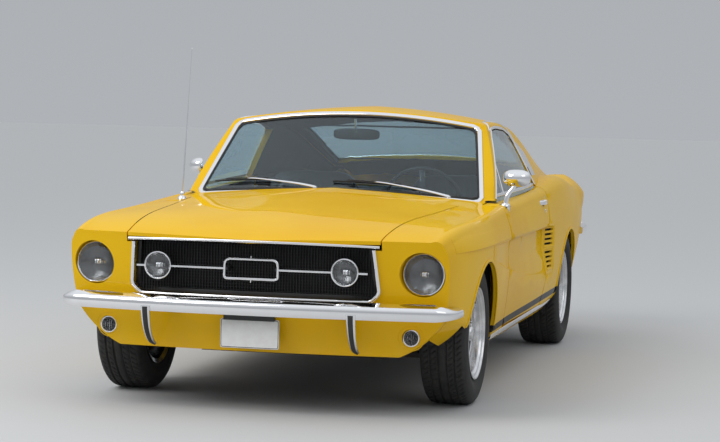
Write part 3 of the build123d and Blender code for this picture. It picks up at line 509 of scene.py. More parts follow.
def swept(patches, path, section, up, closed=False, scale=None, kind=0):
    """Section carried along a path. Its x runs across the path, level with up, and its y along up. scale gives a
    factor, or a pair of them, at each point of the path."""
    path = np.asarray(path, float)
    if closed:
        tangent = unit(np.roll(path, -1, 0) - np.roll(path, 1, 0))
    else:
        tangent = unit(np.gradient(path, axis=0))
    up = np.broadcast_to(np.asarray(up, float), path.shape)
    across = unit(np.cross(tangent, up))
    rise = np.cross(across, tangent)
    size = np.ones((len(path), 2)) if scale is None else np.asarray(scale, float).reshape(len(path), -1) * [1, 1]
    points = (path[:, None] + across[:, None] * (section[None, :, :1] * size[:, None, :1])
              + rise[:, None] * (section[None, :, 1:] * size[:, None, 1:]))
    if not closed:
        first = np.broadcast_to(points[0].mean(0), points[:1].shape)
        last = np.broadcast_to(points[-1].mean(0), points[:1].shape)
        points = np.concatenate([first, points, last])
    return patches.add(points, wrap_u=closed, wrap_v=True, kind=kind)


def revolved(patches, profile, centre, axis, sides=48, closed=False, kind=0):
    """Profile of (distance along the axis, radius) points turned round an axis through centre."""
    axis = unit(np.asarray(axis, float))
    helper = np.array([0, 0, 1.0]) if abs(axis[2]) < 0.9 else np.array([1.0, 0, 0])
    first = unit(np.cross(helper, axis))
    second = np.cross(axis, first)
    angle = whole_turn(sides)[None, :, None]
    profile = np.asarray(profile, float)
    points = (np.asarray(centre, float) + profile[:, :1, None] * axis
              + profile[:, 1:, None] * (np.cos(angle) * first + np.sin(angle) * second))
    return patches.add(points, wrap_u=closed, wrap_v=True, kind=kind)


def cushion_block(patches, lower, upper, power=5.0, rows=28, columns=40, kind=0, bend=None):
    """Rounded block |x/a|^p + |y/b|^p + |z/c|^p = 1 between two corners; bend may move its points."""
    lower, upper = np.asarray(lower, float), np.asarray(upper, float)
    middle, half = (lower + upper) / 2, (upper - lower) / 2
    lift = np.linspace(-np.pi / 2, np.pi / 2, rows)[:, None]
    angle = np.linspace(-np.pi, np.pi, columns, endpoint=False)[None]
    way = at(np.cos(lift) * np.cos(angle), np.cos(lift) * np.sin(angle), np.sin(lift))
    reach = (np.abs(way) ** power).sum(-1, keepdims=True) ** (-1 / power)
    points = way * reach
    points = middle + half * points
    if bend is not None:
        points = bend(points)
    return patches.add(points, wrap_v=True, kind=kind)


def sheet(patches, front, inward, kind=None):
    """Thin closed sheet: a grid of points and its copy moved by inward, joined along all four edges. kind gives the
    number of each front face's material."""
    rows, columns = front.shape[:2]
    ring = np.concatenate([front, (front + inward)[::-1]])
    middle = (ring + ring[::-1]) / 2
    kinds = np.zeros((2 * rows, columns + 1), int)
    if kind is not None:
        kinds[:rows - 1, 1:columns] = kind
    return patches.add(np.concatenate([middle[:, :1], ring, middle[:, -1:]], 1), wrap_u=True, kind=kinds)


def smooth_step(value, low, high):
    """0 below low, 1 above high, and t * t * (3 - 2 * t) between."""
    t = np.clip((value - low) / (high - low), 0, 1)
    return t * t * (3 - 2 * t)


def both_sides(make):
    """What make gives for the left side, x factor 1, and the right side, x factor -1."""
    return [make("left", 1.0), make("right", -1.0)]


def turned(points, sign):
    """Points on the other side of the car where sign is -1."""
    return np.asarray(points, float) * [sign, 1, 1]


def surface_tree(*names, pieces=()):
    """Search tree of the faces of some nodes and pieces."""
    points, faces = [], []
    for mesh in [NODES[name].data for name in names] + [piece.data for piece in pieces]:
        shift = len(points)
        points += [v.co[:] for v in mesh.vertices]
        faces += [[shift + i for i in p.vertices] for p in mesh.polygons]
    return BVHTree.FromPolygons(points, faces)


def laid_on(tree, points, way, lift=0.0):
    """Points moved along way to where they first meet the tree's faces, then back by lift. One that misses lies
    between its neighbours on the path."""
    way = unit(np.asarray(way, float))
    found = [tree.ray_cast(Vector(point), Vector(way))[0] for point in points]
    hit = [number for number, place in enumerate(found) if place is not None]
    places = np.array([found[number] for number in hit]) - way * lift
    every = np.arange(len(points))
    return np.stack([np.interp(every, hit, places[:, k]) for k in range(3)], -1)


def from_side(tree, sign, station, z, lift=0.0):
    """Points where level rays from beside the car meet the tree's faces, moved back out by lift."""
    return laid_on(tree, at(sign * BESIDE, y_at(station), z), (-sign, 0, 0), lift)


def from_above(tree, x, station, high=1.3):
    """Points where rays straight down from a height meet the tree's faces."""
    return laid_on(tree, at(x, y_at(station), high), (0, 0, -1))


def bow(x, sweep):
    """Distance that a bowed nose or windscreen lies further back at x: an arc that is 1.5625 sweep deep at 1 m."""
    depth = sweep * 1.5625
    radius = (1 + depth ** 2) / (2 * depth)
    return radius - np.sqrt(radius ** 2 - np.asarray(x) ** 2)


def nose_y(x, z):
    """Y of the nose face."""
    return y_at(0.046 + (0.737 - z) * 0.22 + bow(x, 0.088))


def screen_station(x, z):
    """Station of the windscreen's outer surface."""
    return 1.505 + (z - 0.915) * 1.2159 + bow(x, 0.2)


# Wheels

# Cuts across the tread in a turn; spokes of a wheel; and depth of the dark pockets between them
TREAD_CUTS = 72
SPOKES = 5
POCKET = 0.034


def tyre_profile(half):
    """Half section of a tyre, (distance from its plane, radius) from bead to crown."""
    return [(0.086, 0.200), (0.093, 0.212), (half - 0.004, 0.236), (half, 0.258), (half - 0.004, 0.284),
            (half - 0.014, 0.304), (half - 0.026, 0.3135), (half - 0.042, 0.3168), (0.030, 0.3178), (0, 0.318)]


def build_tyre(name, centre, sign, half):
    """Tyre: its section turned round the axle. In the tread the radius drops by 7 mm in four straight grooves and in
    slanted cuts across the ribs."""
    outer = spline(tyre_profile(half), 44)
    section = np.vstack([outer, outer[-2::-1] * [-1, 1]])
    angle = whole_turn(TREAD_CUTS * 6)
    across = section[:, :1] + 0 * angle
    radius = section[:, 1:] + 0 * angle
    width = half - 0.020
    grooves = sum(np.exp(-(((np.abs(across) - middle) / 0.0042) ** 4)) for middle in (0.018, 0.052))
    phase = (angle[None] * TREAD_CUTS / (2 * np.pi) + across * 26) % 1
    cuts = (phase < 0.30) * ((np.abs(across) > 0.060) | (np.abs(np.abs(across) - 0.036) < 0.010))
    tread = np.clip((width - np.abs(across)) / 0.006, 0, 1) * (radius > 0.29)
    radius = radius - 0.007 * tread * np.clip(grooves + 0.8 * cuts, 0, 1)
    ribs = np.exp(-((section[:, 1] - 0.226) / 0.002) ** 2) + np.exp(-((section[:, 1] - 0.296) / 0.002) ** 2)
    across = across * (1 + 0.010 * ribs[:, None])
    bore = np.array([(-0.080, 0.193), (0.080, 0.193)])[:, :, None] + 0 * angle
    across, radius = np.vstack([across, bore[:, 0]]), np.vstack([radius, bore[:, 1]])
    points = centre + at(sign * across, radius * np.cos(angle), radius * np.sin(angle))
    patches = Patches().add(points, wrap_u=True, wrap_v=True)
    place, side = name.split("_")[1:]
    finish_piece(f"road_{name}", patches, ["tyre_rubber"], f"wheel_{place}_{side}", replaces=(name,), sharp=50)


def build_rim(name, centre, sign):
    """Five-spoke steel wheel: a stepped polished rim, and a pressed face whose height over the polar grid drops
    between the spokes into dark pockets, with a hub cap and five nuts."""
    patches = Patches()
    half = [(0.0965, 0.203), (0.0985, 0.2055), (0.1000, 0.2035), (0.0990, 0.1985), (0.0925, 0.1955), (0.0895, 0.1915),
            (0.0885, 0.1855), (0.0830, 0.1830), (0.0790, 0.1800), (0.0780, 0.1740), (0.0640, 0.1715),
            (0.0560, 0.1705), (0.0540, 0.1660)]
    back = [(0.020, 0.1660), (-0.060, 0.174), (-0.090, 0.184), (-0.0965, 0.200), (-0.0985, 0.2045), (-0.088, 0.2045),
            (-0.088, 0.1905), (0.088, 0.1905), (0.088, 0.203)]
    axis = (sign, 0, 0)
    revolved(patches, half + back, centre, axis, 96, closed=True)
    radius = np.concatenate([np.linspace(0.030, 0.062, 6), np.linspace(0.066, 0.152, 26),
                             np.linspace(0.155, 0.1665, 5)])
    angle = whole_turn(240)
    r, a = np.meshgrid(radius, angle, indexing="ij")
    offset = (a + np.pi / SPOKES) % (2 * np.pi / SPOKES) - np.pi / SPOKES
    spoke = 0.025 + 0.012 * np.clip((r - 0.06) / 0.09, 0, 1) ** 2
    beyond = (np.abs(offset) * r - spoke) / 0.006
    window = np.clip(beyond, 0, 1) * np.clip((r - 0.070) / 0.005, 0, 1) * np.clip((0.149 - r) / 0.005, 0, 1)
    crown = 0.006 * np.exp(-(offset * r / 0.014) ** 2) * (r > 0.06)
    height = 0.053 - 0.004 * np.clip((r - 0.06) / 0.1, 0, 1) + crown * (1 - window) - POCKET * window
    face = at(height, r * np.cos(a), r * np.sin(a))
    foot, hub = (at(0.012, q * np.cos(a[:1]), q * np.sin(a[:1])) for q in (0.1665, 0.03))
    disc = np.concatenate([hub, face, foot])
    depth = np.concatenate([0 * window[:1], window, 0 * window[:1]])
    deep = depth > 0.4
    deep = deep | np.roll(deep, -1, 1)
    kinds = (deep | np.roll(deep, -1, 0)).astype(int)
    patches.add(centre + disc * [sign, 1, 1], wrap_u=True, wrap_v=True, kind=kinds)
    cap = [(0.050, 0.0), (0.050, 0.036), (0.058, 0.036), (0.060, 0.033), (0.070, 0.032), (0.0775, 0.028),
           (0.081, 0.020), (0.082, 0.0)]
    revolved(patches, cap, centre, axis, 40)
    for number in range(SPOKES):
        way = 2 * np.pi * (number + 0.5) / SPOKES
        nut = np.asarray(centre) + [0, 0.052 * np.cos(way), 0.052 * np.sin(way)]
        revolved(patches, [(0.050, 0), (0.050, 0.0095), (0.064, 0.0095), (0.067, 0.006), (0.067, 0)], nut, axis, 6)
    valve = np.asarray(centre) + [0, 0.16 * np.cos(0.9), 0.16 * np.sin(0.9)]
    revolved(patches, [(0.045, 0), (0.045, 0.004), (0.072, 0.003), (0.072, 0)], valve, axis, 10, kind=1)
    place, side = name.split("_")[1:]
    finish_piece(f"spoked_{name}", patches, ["wheel_alloy", "pocket_black"], f"wheel_{place}_{side}", replaces=(name,))


def build_wheels():
    """Tyres and rims on both axles."""
    for place, station, half in (("front", FRONT_AXLE, 0.1075), ("rear", REAR_AXLE, 0.1175)):
        for side, sign in (("left", 1.0), ("right", -1.0)):
            centre = (sign * WHEEL_X, y_at(station), TYRE_RADIUS)
            build_tyre(f"tyre_{place}_{side}", centre, sign, half)
            build_rim(f"rim_{place}_{side}", centre, sign)


# Lamps

FORWARD = (0, -1, 0)
# Centres of the left lamps: x, station and height
HEADLAMP = (0.718, 0.176, 0.618)
FOG_LAMP = (0.406, 0.062, 0.622)
VALANCE_LAMP = (0.666, 0.196, 0.348)


def fluted_lens(patches, centre, radius, bulge):
    """Domed glass lens over the polar grid: height bulge * (1 - (r/R)^2) in front, and behind it a back face that
    rises and falls with cos(2 pi x / pitch) in upright flutes."""
    r, a = np.meshgrid(np.linspace(radius, 0.0, 26), whole_turn(120), indexing="ij")
    x, z = r * np.cos(a), r * np.sin(a)
    front = 0.0005 + bulge * (1 - (r / radius) ** 2)
    flutes = 0.0011 * np.cos(2 * np.pi * x / 0.009) * np.clip((radius - r) / 0.008, 0, 1)
    back = front - 0.0036 - flutes
    lens = np.concatenate([at(x, -front, z), at(x, -back, z)[::-1]])
    patches.add(centre + lens, wrap_u=True, wrap_v=True, kind=2)


def build_lamp(patches, place, radius, depth, bulge, guard):
    """Round lamp: chrome ring, bowl-shaped reflector with a bulb shield, and a domed, fluted lens."""
    x, station, z = place
    centre = (x, y_at(station), z)
    ring = radius + 0.0035 * np.array([-1.4, -1.2, -0.3, 0.9, 1.4, 1.0, 0.3])
    rise = np.array([-0.006, 0.002, 0.0055, 0.0045, 0.0, -0.006, -0.006])
    revolved(patches, at(rise, ring), centre, FORWARD, 64, closed=True)
    bowl = [(-depth + depth * (q / radius) ** 2 - 0.001, q) for q in np.linspace(radius - 0.003, 0.0, 16)]
    shell = [(a - 0.0015, b) for a, b in reversed(bowl)]
    # The bowl takes the dark reflector finish, painted shade inside the lamp.
    revolved(patches, bowl + shell, centre, FORWARD, 48, closed=True, kind=1)
    fluted_lens(patches, centre, radius - 0.002, bulge)
    revolved(patches, [(-depth, 0), (-depth, 0.010), (-depth + 0.008, 0.014), (-depth + 0.014, 0.010),
                       (-depth + 0.017, 0)], centre, FORWARD, 24, kind=guard)


def build_lamps():
    """Headlamps, fog lamps in the grille and lamps in the valance."""
    patches = Patches()
    for sign in (1.0, -1.0):
        x, station, z = HEADLAMP
        build_lamp(patches, (sign * x, station, z), 0.086, 0.026, 0.016, 0)
        x, station, z = FOG_LAMP
        build_lamp(patches, (sign * x, station, z), 0.0555, 0.030, 0.010, 0)
        body = [(-0.036, 0.0), (-0.034, 0.030), (-0.018, 0.0495), (-0.004, 0.0520), (-0.004, 0.0535), (-0.030, 0.0505),
                (-0.060, 0.034), (-0.098, 0.026), (-0.098, 0.0)]
        revolved(patches, body, (sign * x, y_at(station), z), FORWARD, 40, kind=3)
        x, station, z = VALANCE_LAMP
        build_lamp(patches, (sign * x, station, z), 0.033, 0.020, 0.005, 3)
    finish_piece("round_lamps", patches, ["chrome_trim", "reflector", "lamp_glass", "pocket_black"], slot="lamp_glass",
                 replaces=("front_lamps",))
    rings = Patches()
    for sign in (1.0, -1.0):
        x, station, z = VALANCE_LAMP
        angle = whole_turn(48)
        for reach, fat in ((0.040, 0.0028), (0.054, 0.0018)):
            ring_x, ring_z = sign * x + reach * np.cos(angle), z + reach * np.sin(angle)
            path = at(ring_x, nose_y(ring_x, ring_z) + 0.0005, ring_z)
            swept(rings, path, oval(fat, fat, 2, 8), FORWARD, closed=True)
    finish_piece("valance_lamp_rings", rings, ["body_paint"], sharp=35)


# Grille

# Station of the plate behind the mesh, its pitch, and height of the bright bar
GRILLE_BACK = 0.158
MESH_PITCH = 0.0125
BAR_Z = 0.619


def grille_corners(inset, top):
    """Outline of the grille opening as (x, z), from its upper left corner round its foot, whose corners are cut."""
    cut = inset * 0.414
    half = [(0.518 - inset, top), (0.536 - inset, 0.536 + cut), (0.500 - cut, 0.500 + inset)]
    return np.array(half + [(-x, z) for x, z in reversed(half)])


def box_patch(patches, lower, upper, kind=0):
    """Plain box, closed, as one grid."""
    (x0, y0, z0), (x1, y1, z1) = lower, upper
    ring = [(x0, y0), (x1, y0), (x1, y1), (x0, y1)]
    middle = ((x0 + x1) / 2, (y0 + y1) / 2)
    rows = [[(*middle, z0)] * 4, [(*q, z0) for q in ring], [(*q, z1) for q in ring], [(*middle, z1)] * 4]
    return patches.add(np.array(rows), wrap_v=True, kind=kind)


def build_grille():
    """Black egg-crate mesh in front of a plate, a thin bright bar and an empty bright frame on two stays."""
    patches = Patches()
    back = y_at(GRILLE_BACK)
    low, high = 0.506, 0.722
    for x in np.arange(-0.520, 0.5201, MESH_PITCH):
        box_patch(patches, (x - 0.0009, back - 0.014, low), (x + 0.0009, back, high))
    for z in np.arange(low + 0.006, high, MESH_PITCH):
        box_patch(patches, (-0.528, back - 0.012, z - 0.0009), (0.528, back, z + 0.0009))
    box_patch(patches, (-0.534, back, 0.502), (0.534, back + 0.010, high + 0.002))
    bar_y = y_at(0.070)
    thin = oval(0.0035, 0.0042, 3.0, 12)
    for sign in (1.0, -1.0):
        for start, end in ((0.118, 0.350), (0.462, 0.502)):
            path = [(sign * start, bar_y, BAR_Z), (sign * end, bar_y, BAR_Z)]
            swept(patches, path, thin, (0, 0, 1), kind=1)
        swept(patches, [(sign * 0.480, bar_y, BAR_Z), (sign * 0.480, back, BAR_Z)], thin, (0, 0, 1), kind=0)
        swept(patches, [(sign * 0.108, bar_y, BAR_Z), (sign * 0.108, back, BAR_Z)], thin * 1.6, (0, 0, 1), kind=0)
        for z, reach in ((BAR_Z + 0.042, 0.014), (BAR_Z - 0.042, -0.014)):
            swept(patches, [(0, bar_y, z), (0, bar_y, z + reach)], oval(0.0025, 0.0025, 2, 8), (0, 1, 0), kind=1)
    frame_line = rounded([(-0.116, BAR_Z - 0.041), (0.116, BAR_Z - 0.041), (0.116, BAR_Z + 0.026),
                          (0.104, BAR_Z + 0.041), (-0.104, BAR_Z + 0.041), (-0.116, BAR_Z + 0.026)], 0.014)
    path = at(frame_line[:, 0], bar_y, frame_line[:, 1])
    swept(patches, path, oval(0.0052, 0.0042, 2.5, 12), FORWARD, closed=True, kind=1)
    finish_piece("mesh_grille", patches, ["grille_black", "chrome_trim"], slot="black_trim", replaces=("grille",),
                 sharp=30)


def build_surround():
    """Bright moulding round the sides and foot of the grille, on the bowed nose face, and a dark inner lip."""
    patches = Patches()
    for inset, back, section, kind in ((-0.004, -0.004, oval(0.0085, 0.0070, 2.6, 16), 0),
                                       (0.012, 0.030, oval(0.0100, 0.0030, 3.0, 12), 1)):
        line = rounded(grille_corners(inset, 0.719), 0.016, 7, closed=False)
        line = spread(line, 0.03)
        path = at(line[:, 0], nose_y(line[:, 0], line[:, 1]) + back, line[:, 1])
        swept(patches, path, section, FORWARD, kind=kind)
    finish_piece("grille_moulding", patches, ["chrome_trim", "grille_black"], replaces=("grille_surround",))
    lip = Patches()
    x = np.linspace(-0.546, 0.546, 60)
    edge = 0.7305 + 0.0065 * (1 - (x / 0.54) ** 2)
    path = at(x, nose_y(x, edge) - 0.001, edge)
    swept(lip, path, oval(0.0065, 0.0060, 2.6, 14), (0, 0, 1))
    finish_piece("hood_lip_moulding", lip, body="hood")


# Bumpers and plate

def bumper_line(sweep, tip, sign, face):
    """Plan path of a wrapped bumper's face, from its right tip to its left tip."""
    x = np.linspace(0, 0.79, 24)
    radius = (0.79 ** 2 + sweep ** 2) / (2 * sweep)
    front = at(x, sign * (radius - np.sqrt(radius ** 2 - x ** 2)))
    wrap = spline([(0.79, sign * sweep), (0.836, sign * (sweep + 0.030)), (tip[0] - 0.008, sign * (sweep + 0.090)),
                   tip], 24)[1:]
    half = np.vstack([front, wrap])
    half = spline(half, 70)
    both = np.vstack([half[:0:-1] * [-1, 1], half])
    return at(both[:, 0], both[:, 1] + face, 0)


def build_bumper(line, sign, heights):
    """Bright wrapped bumper: a rounded blade section with a shelf on top, whose height shrinks to its tips."""
    low, edge, top = heights
    middle = (low + edge) / 2
    # Section as (depth behind the face, height from the middle)
    section = spline([(0.004, low - middle), (0.000, low - middle + 0.016), (0.000, edge - middle - 0.010),
                      (0.004, edge - middle + 0.001), (0.018, edge - middle + 0.012), (0.034, top - middle),
                      (0.042, top - middle - 0.001), (0.045, top - middle - 0.008), (0.045, low - middle + 0.006),
                      (0.032, low - middle - 0.002), (0.004, low - middle)], 34)[:-1]
    reach = np.abs(line[:, 0]) / np.abs(line[:, 0]).max()
    shrink = 1 - 0.42 * np.clip((reach - 0.90) / 0.10, 0, 1) ** 1.5
    path = line + [0, 0, middle]
    patches = Patches()
    swept(patches, path, section * [-sign, 1], (0, 0, 1), scale=at(1 - 0.3 * (1 - shrink), shrink))
    return patches


def build_front_bumper():
    """Front bumper with two curved guards."""
    line = bumper_line(0.074, (0.874, 0.268), 1, y_at(0.0))
    patches = build_bumper(line, 1, (0.430, 0.478, 0.500))
    for sign in (1.0, -1.0):
        curve = spline([(0.020, 0.452), (0.027, 0.412), (0.052, 0.352), (0.100, 0.302), (0.166, 0.276)], 26)
        path = at(sign * 0.445, y_at(curve[:, 0]), curve[:, 1])
        fade = np.linspace(0, 1, 26)
        width = 1 - 0.35 * fade
        width[-4:] *= [0.95, 0.85, 0.7, 0.4]
        swept(patches, path, oval(0.021, 0.0105, 2.6, 20), FORWARD, scale=width)
        swept(patches, path + [0, -0.0075, -0.0035], oval(0.012, 0.005, 2.6, 16), FORWARD, scale=width, kind=1)
        swept(patches, [(sign * 0.38, y_at(0.045), 0.462), (sign * 0.38, y_at(0.15), 0.462)], oval(0.03, 0.018, 4, 12),
              (0, 0, 1), kind=1)
    finish_piece("front_blade", patches, ["chrome_trim", "black_trim"], replaces=("bumper_front",), sharp=38)


def build_plate():
    """Bare plate with a raised rim, on a bracket under the front bumper."""
    plate = Patches()
    outline = rounded([(-0.128, 0.286), (0.128, 0.286), (0.128, 0.410), (-0.128, 0.410)], 0.010)
    rows = [at(q * outline[:, 0], y_at(s), 0.348 + q * (outline[:, 1] - 0.348))
            for s, q in ((0.0715, 0.0), (0.0715, 1.0), (0.0700, 1.0), (0.0685, 0.99), (0.0685, 0.0))]
    plate.add(np.array(rows), wrap_v=True)
    border = rounded([(-0.124, 0.290), (0.124, 0.290), (0.124, 0.406), (-0.124, 0.406)], 0.008)
    swept(plate, at(border[:, 0], y_at(0.0683), border[:, 1]), oval(0.0012, 0.0007, 2, 8), FORWARD, closed=True, kind=1)
    box_patch(plate, (-0.110, y_at(0.050), 0.405), (0.110, y_at(0.076), 0.436), kind=1)
    box_patch(plate, (-0.120, y_at(0.0715), 0.292), (0.120, y_at(0.0770), 0.404), kind=1)
    for x in (-0.09, 0.09):
        box_patch(plate, (x - 0.012, y_at(0.077), 0.33), (x + 0.012, y_at(0.150), 0.38), kind=1)
    finish_piece("bare_plate", plate, ["plate_white", "black_trim"], slot="black_trim", sharp=30)


def build_rear_bumper():
    """Rear bumper, wrapped round the tail, with two upright guards."""
    line = bumper_line(0.060, (0.852, -0.380), -1, y_at(LENGTH))
    patches = build_bumper(line, -1, (0.568, 0.632, 0.650))
    for sign in (1.0, -1.0):
        path = [(sign * 0.36, y_at(LENGTH - 0.0165), z) for z in np.linspace(0.552, 0.662, 14)]
        scale = np.array([0.4, 0.75, 0.92] + [1.0] * 8 + [0.92, 0.75, 0.4])
        swept(patches, path, oval(0.020, 0.016, 2.6, 16), (0, 1, 0), scale=scale)
        swept(patches, [(sign * 0.38, y_at(LENGTH - 0.04), 0.60), (sign * 0.38, y_at(LENGTH - 0.12), 0.60)],
              oval(0.03, 0.018, 4, 12), (0, 0, 1), kind=1)
    finish_piece("rear_blade", patches, ["chrome_trim", "black_trim"], replaces=("bumper_rear",), sharp=38)


# Body forms beside the frame's panels: scallop, scoops, deck corners, cowl corners and windscreen pillars

# How far the side stands out in its middle over a chord, and the chord's height
SIDE_BULGE, SIDE_CHORD = 0.009, 0.414
# How far the greenhouse's side leans inwards for each metre of height
SIDE_LEAN = 0.376
# Station of the fenders' rear edge, and the height just over the scallop's top edge
FENDER_REAR, SCALLOP_TOP = 1.4812, 0.7125
# How far a laid sheet's edges sink under the skin, and how far its inner part stands out of it
SINK, STAND = 0.0007, 0.0006
# Scallop: stations where its sheet and its foot start, the foot's height there, and how far a sheet reaches below it
SCALLOP_SHEET, SCALLOP_START, SCALLOP_FOOT, BELOW_FOOT = 0.957, 0.980, 0.640, 0.016
# Crease: heights where it starts and where it stands out most, and how far
CREASE_TOP, CREASE_FOOT, CREASE_DEPTH = 0.775, 0.7078, 0.0075


def side_skin(tree, station, low, high, height, sign):
    """X of the uncut side skin: from where rays meet it at the heights low and high, a line between the two that
    stands out by an arc of the side's own bulge."""
    ends = []
    for level in (low, high):
        ends.append(np.abs(from_side(tree, sign, station, level)[:, 0]))
    share = (height - low) / (high - low)
    rise = 4 * share * (1 - share) * SIDE_BULGE * ((high - low) / SIDE_CHORD) ** 2
    return ends[0] + (ends[1] - ends[0]) * share + rise


def scallop(height, depth, bottom):
    """X of the side scallop's surface: its foot, its middle and its top edge below the crease, joined by lines."""
    edge, top = 0.871, 0.704
    columns = [np.interp(z, [b - 0.030, b, (top + b) / 2, top - 0.010, top + 0.006],
                         [edge + 0.040, edge - 0.011, edge - d - 0.003, edge - d, edge + 0.040])
               for z, d, b in zip(height.T, depth, bottom)]
    return np.stack(columns, -1)


def painted_sheet(name, points, thickness, sharp, **extra):
    """Painted piece: a sheet whose front is a grid of points."""
    finish_piece(name, sheet(Patches(), points, thickness), ["body_paint"], sharp=sharp, **extra)


def build_scallop_start(side, sign):
    """Front of the side scallop on a fender: its depth below the skin grows from nothing by a smooth step."""
    station = np.linspace(SCALLOP_SHEET, FENDER_REAR, 116)
    share = np.maximum(station - SCALLOP_START, 0) / 0.920
    bottom = SCALLOP_FOOT - 0.140 * share
    low = bottom - BELOW_FOOT
    height = low + (SCALLOP_TOP - low) * np.linspace(0, 1, 70)[:, None]
    skin = side_skin(surface_tree("fenders"), station, low, SCALLOP_TOP, height, sign)
    cut = scallop(height, 0.001 + 0.015 * share, bottom)
    edge = smooth_step(station, SCALLOP_SHEET, SCALLOP_START) * smooth_step(height - height[0], 0, 0.008)
    x = skin - np.maximum(skin - cut, 0) * smooth_step(station, 0.99, 1.44) + (SINK + STAND) * edge - SINK
    points = at(sign * x, y_at(station), height)
    painted_sheet(f"scallop_start_{side}", points, (-sign * SHEET, 0, 0), 25)


def build_mirror_pad(side, sign):
    """Skin of a door's top under its mirror: at each x the height runs straight between rays just ahead of the
    mirror's foot and just behind it."""
    first, last = (1.557, 1.651) if side == "left" else (2.005, 2.215)
    tree = surface_tree(f"door_{side}")
    x = np.concatenate([np.linspace(0.799, 0.835, 14), np.linspace(0.838, 0.8515, 12)])
    ends = []
    for station in (first, last):
        ends.append(from_above(tree, sign * x, station, 1.2))
    share = np.linspace(0, 1, 20)[:, None, None]
    points = ends[0] + (ends[1] - ends[0]) * share
    points[..., 2] += 0.0012 * smooth_step(x, 0.799, 0.806) - 0.0006
    painted_sheet(f"mirror_pad_{side}", points, (-sign * SHEET, 0, -0.004), 30, body=f"door_{side}")


def build_crease(side, sign):
    """Crease along a fender ahead of the scallop: the skin above it stands out by h * t * t, where t goes from 0 at
    its top to 1 at its foot, and then drops back to the skin. h fades in behind the headlamp."""
    tree = surface_tree("fenders")
    station = np.linspace(0.170, FENDER_REAR, 150)
    drop = np.array([0.7046, 0.7052, 0.7062, CREASE_FOOT])
    height = np.concatenate([drop, np.linspace(0.710, CREASE_TOP, 22)])
    t = np.clip((CREASE_TOP - height) / (CREASE_TOP - CREASE_FOOT), 0, 1)
    shape = t * t * np.interp(height, drop, [0.0, 0.55, 0.90, 1.0])
    h = CREASE_DEPTH * smooth_step(station, 0.19, 0.50) * (1 - 0.8 * smooth_step(station, 0.95, 1.45))
    rows = []
    for z, stands in zip(height, shape):
        edge = smooth_step(station, 0.17, 0.21) * smooth_step(CREASE_TOP - z, 0, 0.012)
        out = np.outer(h * stands + 0.0015 * edge - SINK, [sign, 0, 0])
        rows.append(from_side(tree, sign, station, z) + out)
    painted_sheet(f"crease_{side}", np.array(rows), (-sign * SHEET, 0, 0), 30)


# Scoops: foot of each group of slots, pitch and height of a slot, and the stations of their ends
SCOOP_PITCH, SLOT_HEIGHT = 0.025, 0.011
SCOOP_GROUPS = (0.478, 0.598)
SCOOP_FRONT, SCOOP_REAR = 2.796, 2.916


def build_scoop(side, sign):
    """Scoop panel where the scallop comes back out, over a grid with lines on the slots' edges: eight level slots sunk
    into it, painted black inside as painted shade of open slots, and a raised bead exp(-(q / w)^2) round each group, q
    the distance from a rounded frame."""
    lows = [low + SCOOP_PITCH * number for low in SCOOP_GROUPS for number in range(4)]
    edges = [z + step for low in lows for z in (low, low + SLOT_HEIGHT) for step in (-0.0006, 0.0006)]
    level = np.unique(np.concatenate([np.linspace(0.444, SCALLOP_TOP, 90), edges]))
    ends = [s + step for s in (SCOOP_FRONT, SCOOP_REAR) for step in (-0.0006, 0.0006)]
    station = np.unique(np.concatenate([np.linspace(2.7515, 2.964, 80), ends]))
    height = level[:, None] + 0 * station
    skin = side_skin(surface_tree("quarter_panels"), station, 0.444, SCALLOP_TOP, height, sign)
    cut = scallop(height, 0.040 - 0.044 * (station - 2.745) / 0.220, 0.452 + 0 * station)
    x = np.minimum(skin, cut) + 0.0008
    slots = sum(((height > low) & (height < low + SLOT_HEIGHT)) * 1.0 for low in lows)
    slots = slots * ((station > SCOOP_FRONT) & (station < SCOOP_REAR))
    bead = 0
    for low in SCOOP_GROUPS:
        a = np.abs(station - 2.856) - 0.058
        b = np.abs(height - low - 0.043) - 0.041
        reach = np.hypot(np.maximum(a, 0), np.maximum(b, 0)) + np.minimum(np.maximum(a, b), 0) - 0.014
        bead = bead + 0.0045 * np.exp(-(reach / 0.0048) ** 2)
    x = x + bead - 0.020 * slots
    # Faces inside the slots take the black finish: painted shade, as dark as open slots look.
    deep = (slots[:-1, :-1] + slots[1:, :-1] + slots[:-1, 1:] + slots[1:, 1:]) > 0
    points = at(sign * x, y_at(station), height)
    finish_piece(f"scoop_{side}", sheet(Patches(), points, (-sign * SHEET, 0, 0), deep),
                 ["body_paint", "pocket_black"], sharp=30)


# Deck corner: station of its rear end, x of its outer edge, and its gap to the boot lid
DECK_REAR, DECK_SIDE, LID_GAP = 4.4545, 0.664, 0.0065


def build_deck_corner(side, sign):
    """Deck beside the boot lid's rear corner: from the lid's level it rises to the quarter panel by a smooth step."""
    station = np.linspace(4.180, DECK_REAR, 50)
    lid_edge = 0.572 + 0.032 * (station - 3.985) / 0.815
    levels = []
    for name, x in (("boot_lid", lid_edge - 0.012), ("quarter_panels", DECK_SIDE)):
        levels.append(from_above(surface_tree(name), sign * x, station)[:, 2])
    share = np.linspace(0, 1, 24)[:, None]
    x = (lid_edge + LID_GAP) + (DECK_SIDE - lid_edge - LID_GAP) * share
    z = levels[0] + (levels[1] - levels[0]) * smooth_step(share, 0, 1)
    tail = from_above(surface_tree("tail_panel"), sign * x[:, -1], 4.461)[:, 2:]
    z = z + np.maximum(tail - z, 0) * smooth_step(station, 4.33, DECK_REAR) + 0.0008
    painted_sheet(f"deck_corner_{side}", at(sign * x, y_at(station), z), (0, 0, -0.026), 25)


NOTCH_FRONT, NOTCH_REAR = 1.196, 1.244


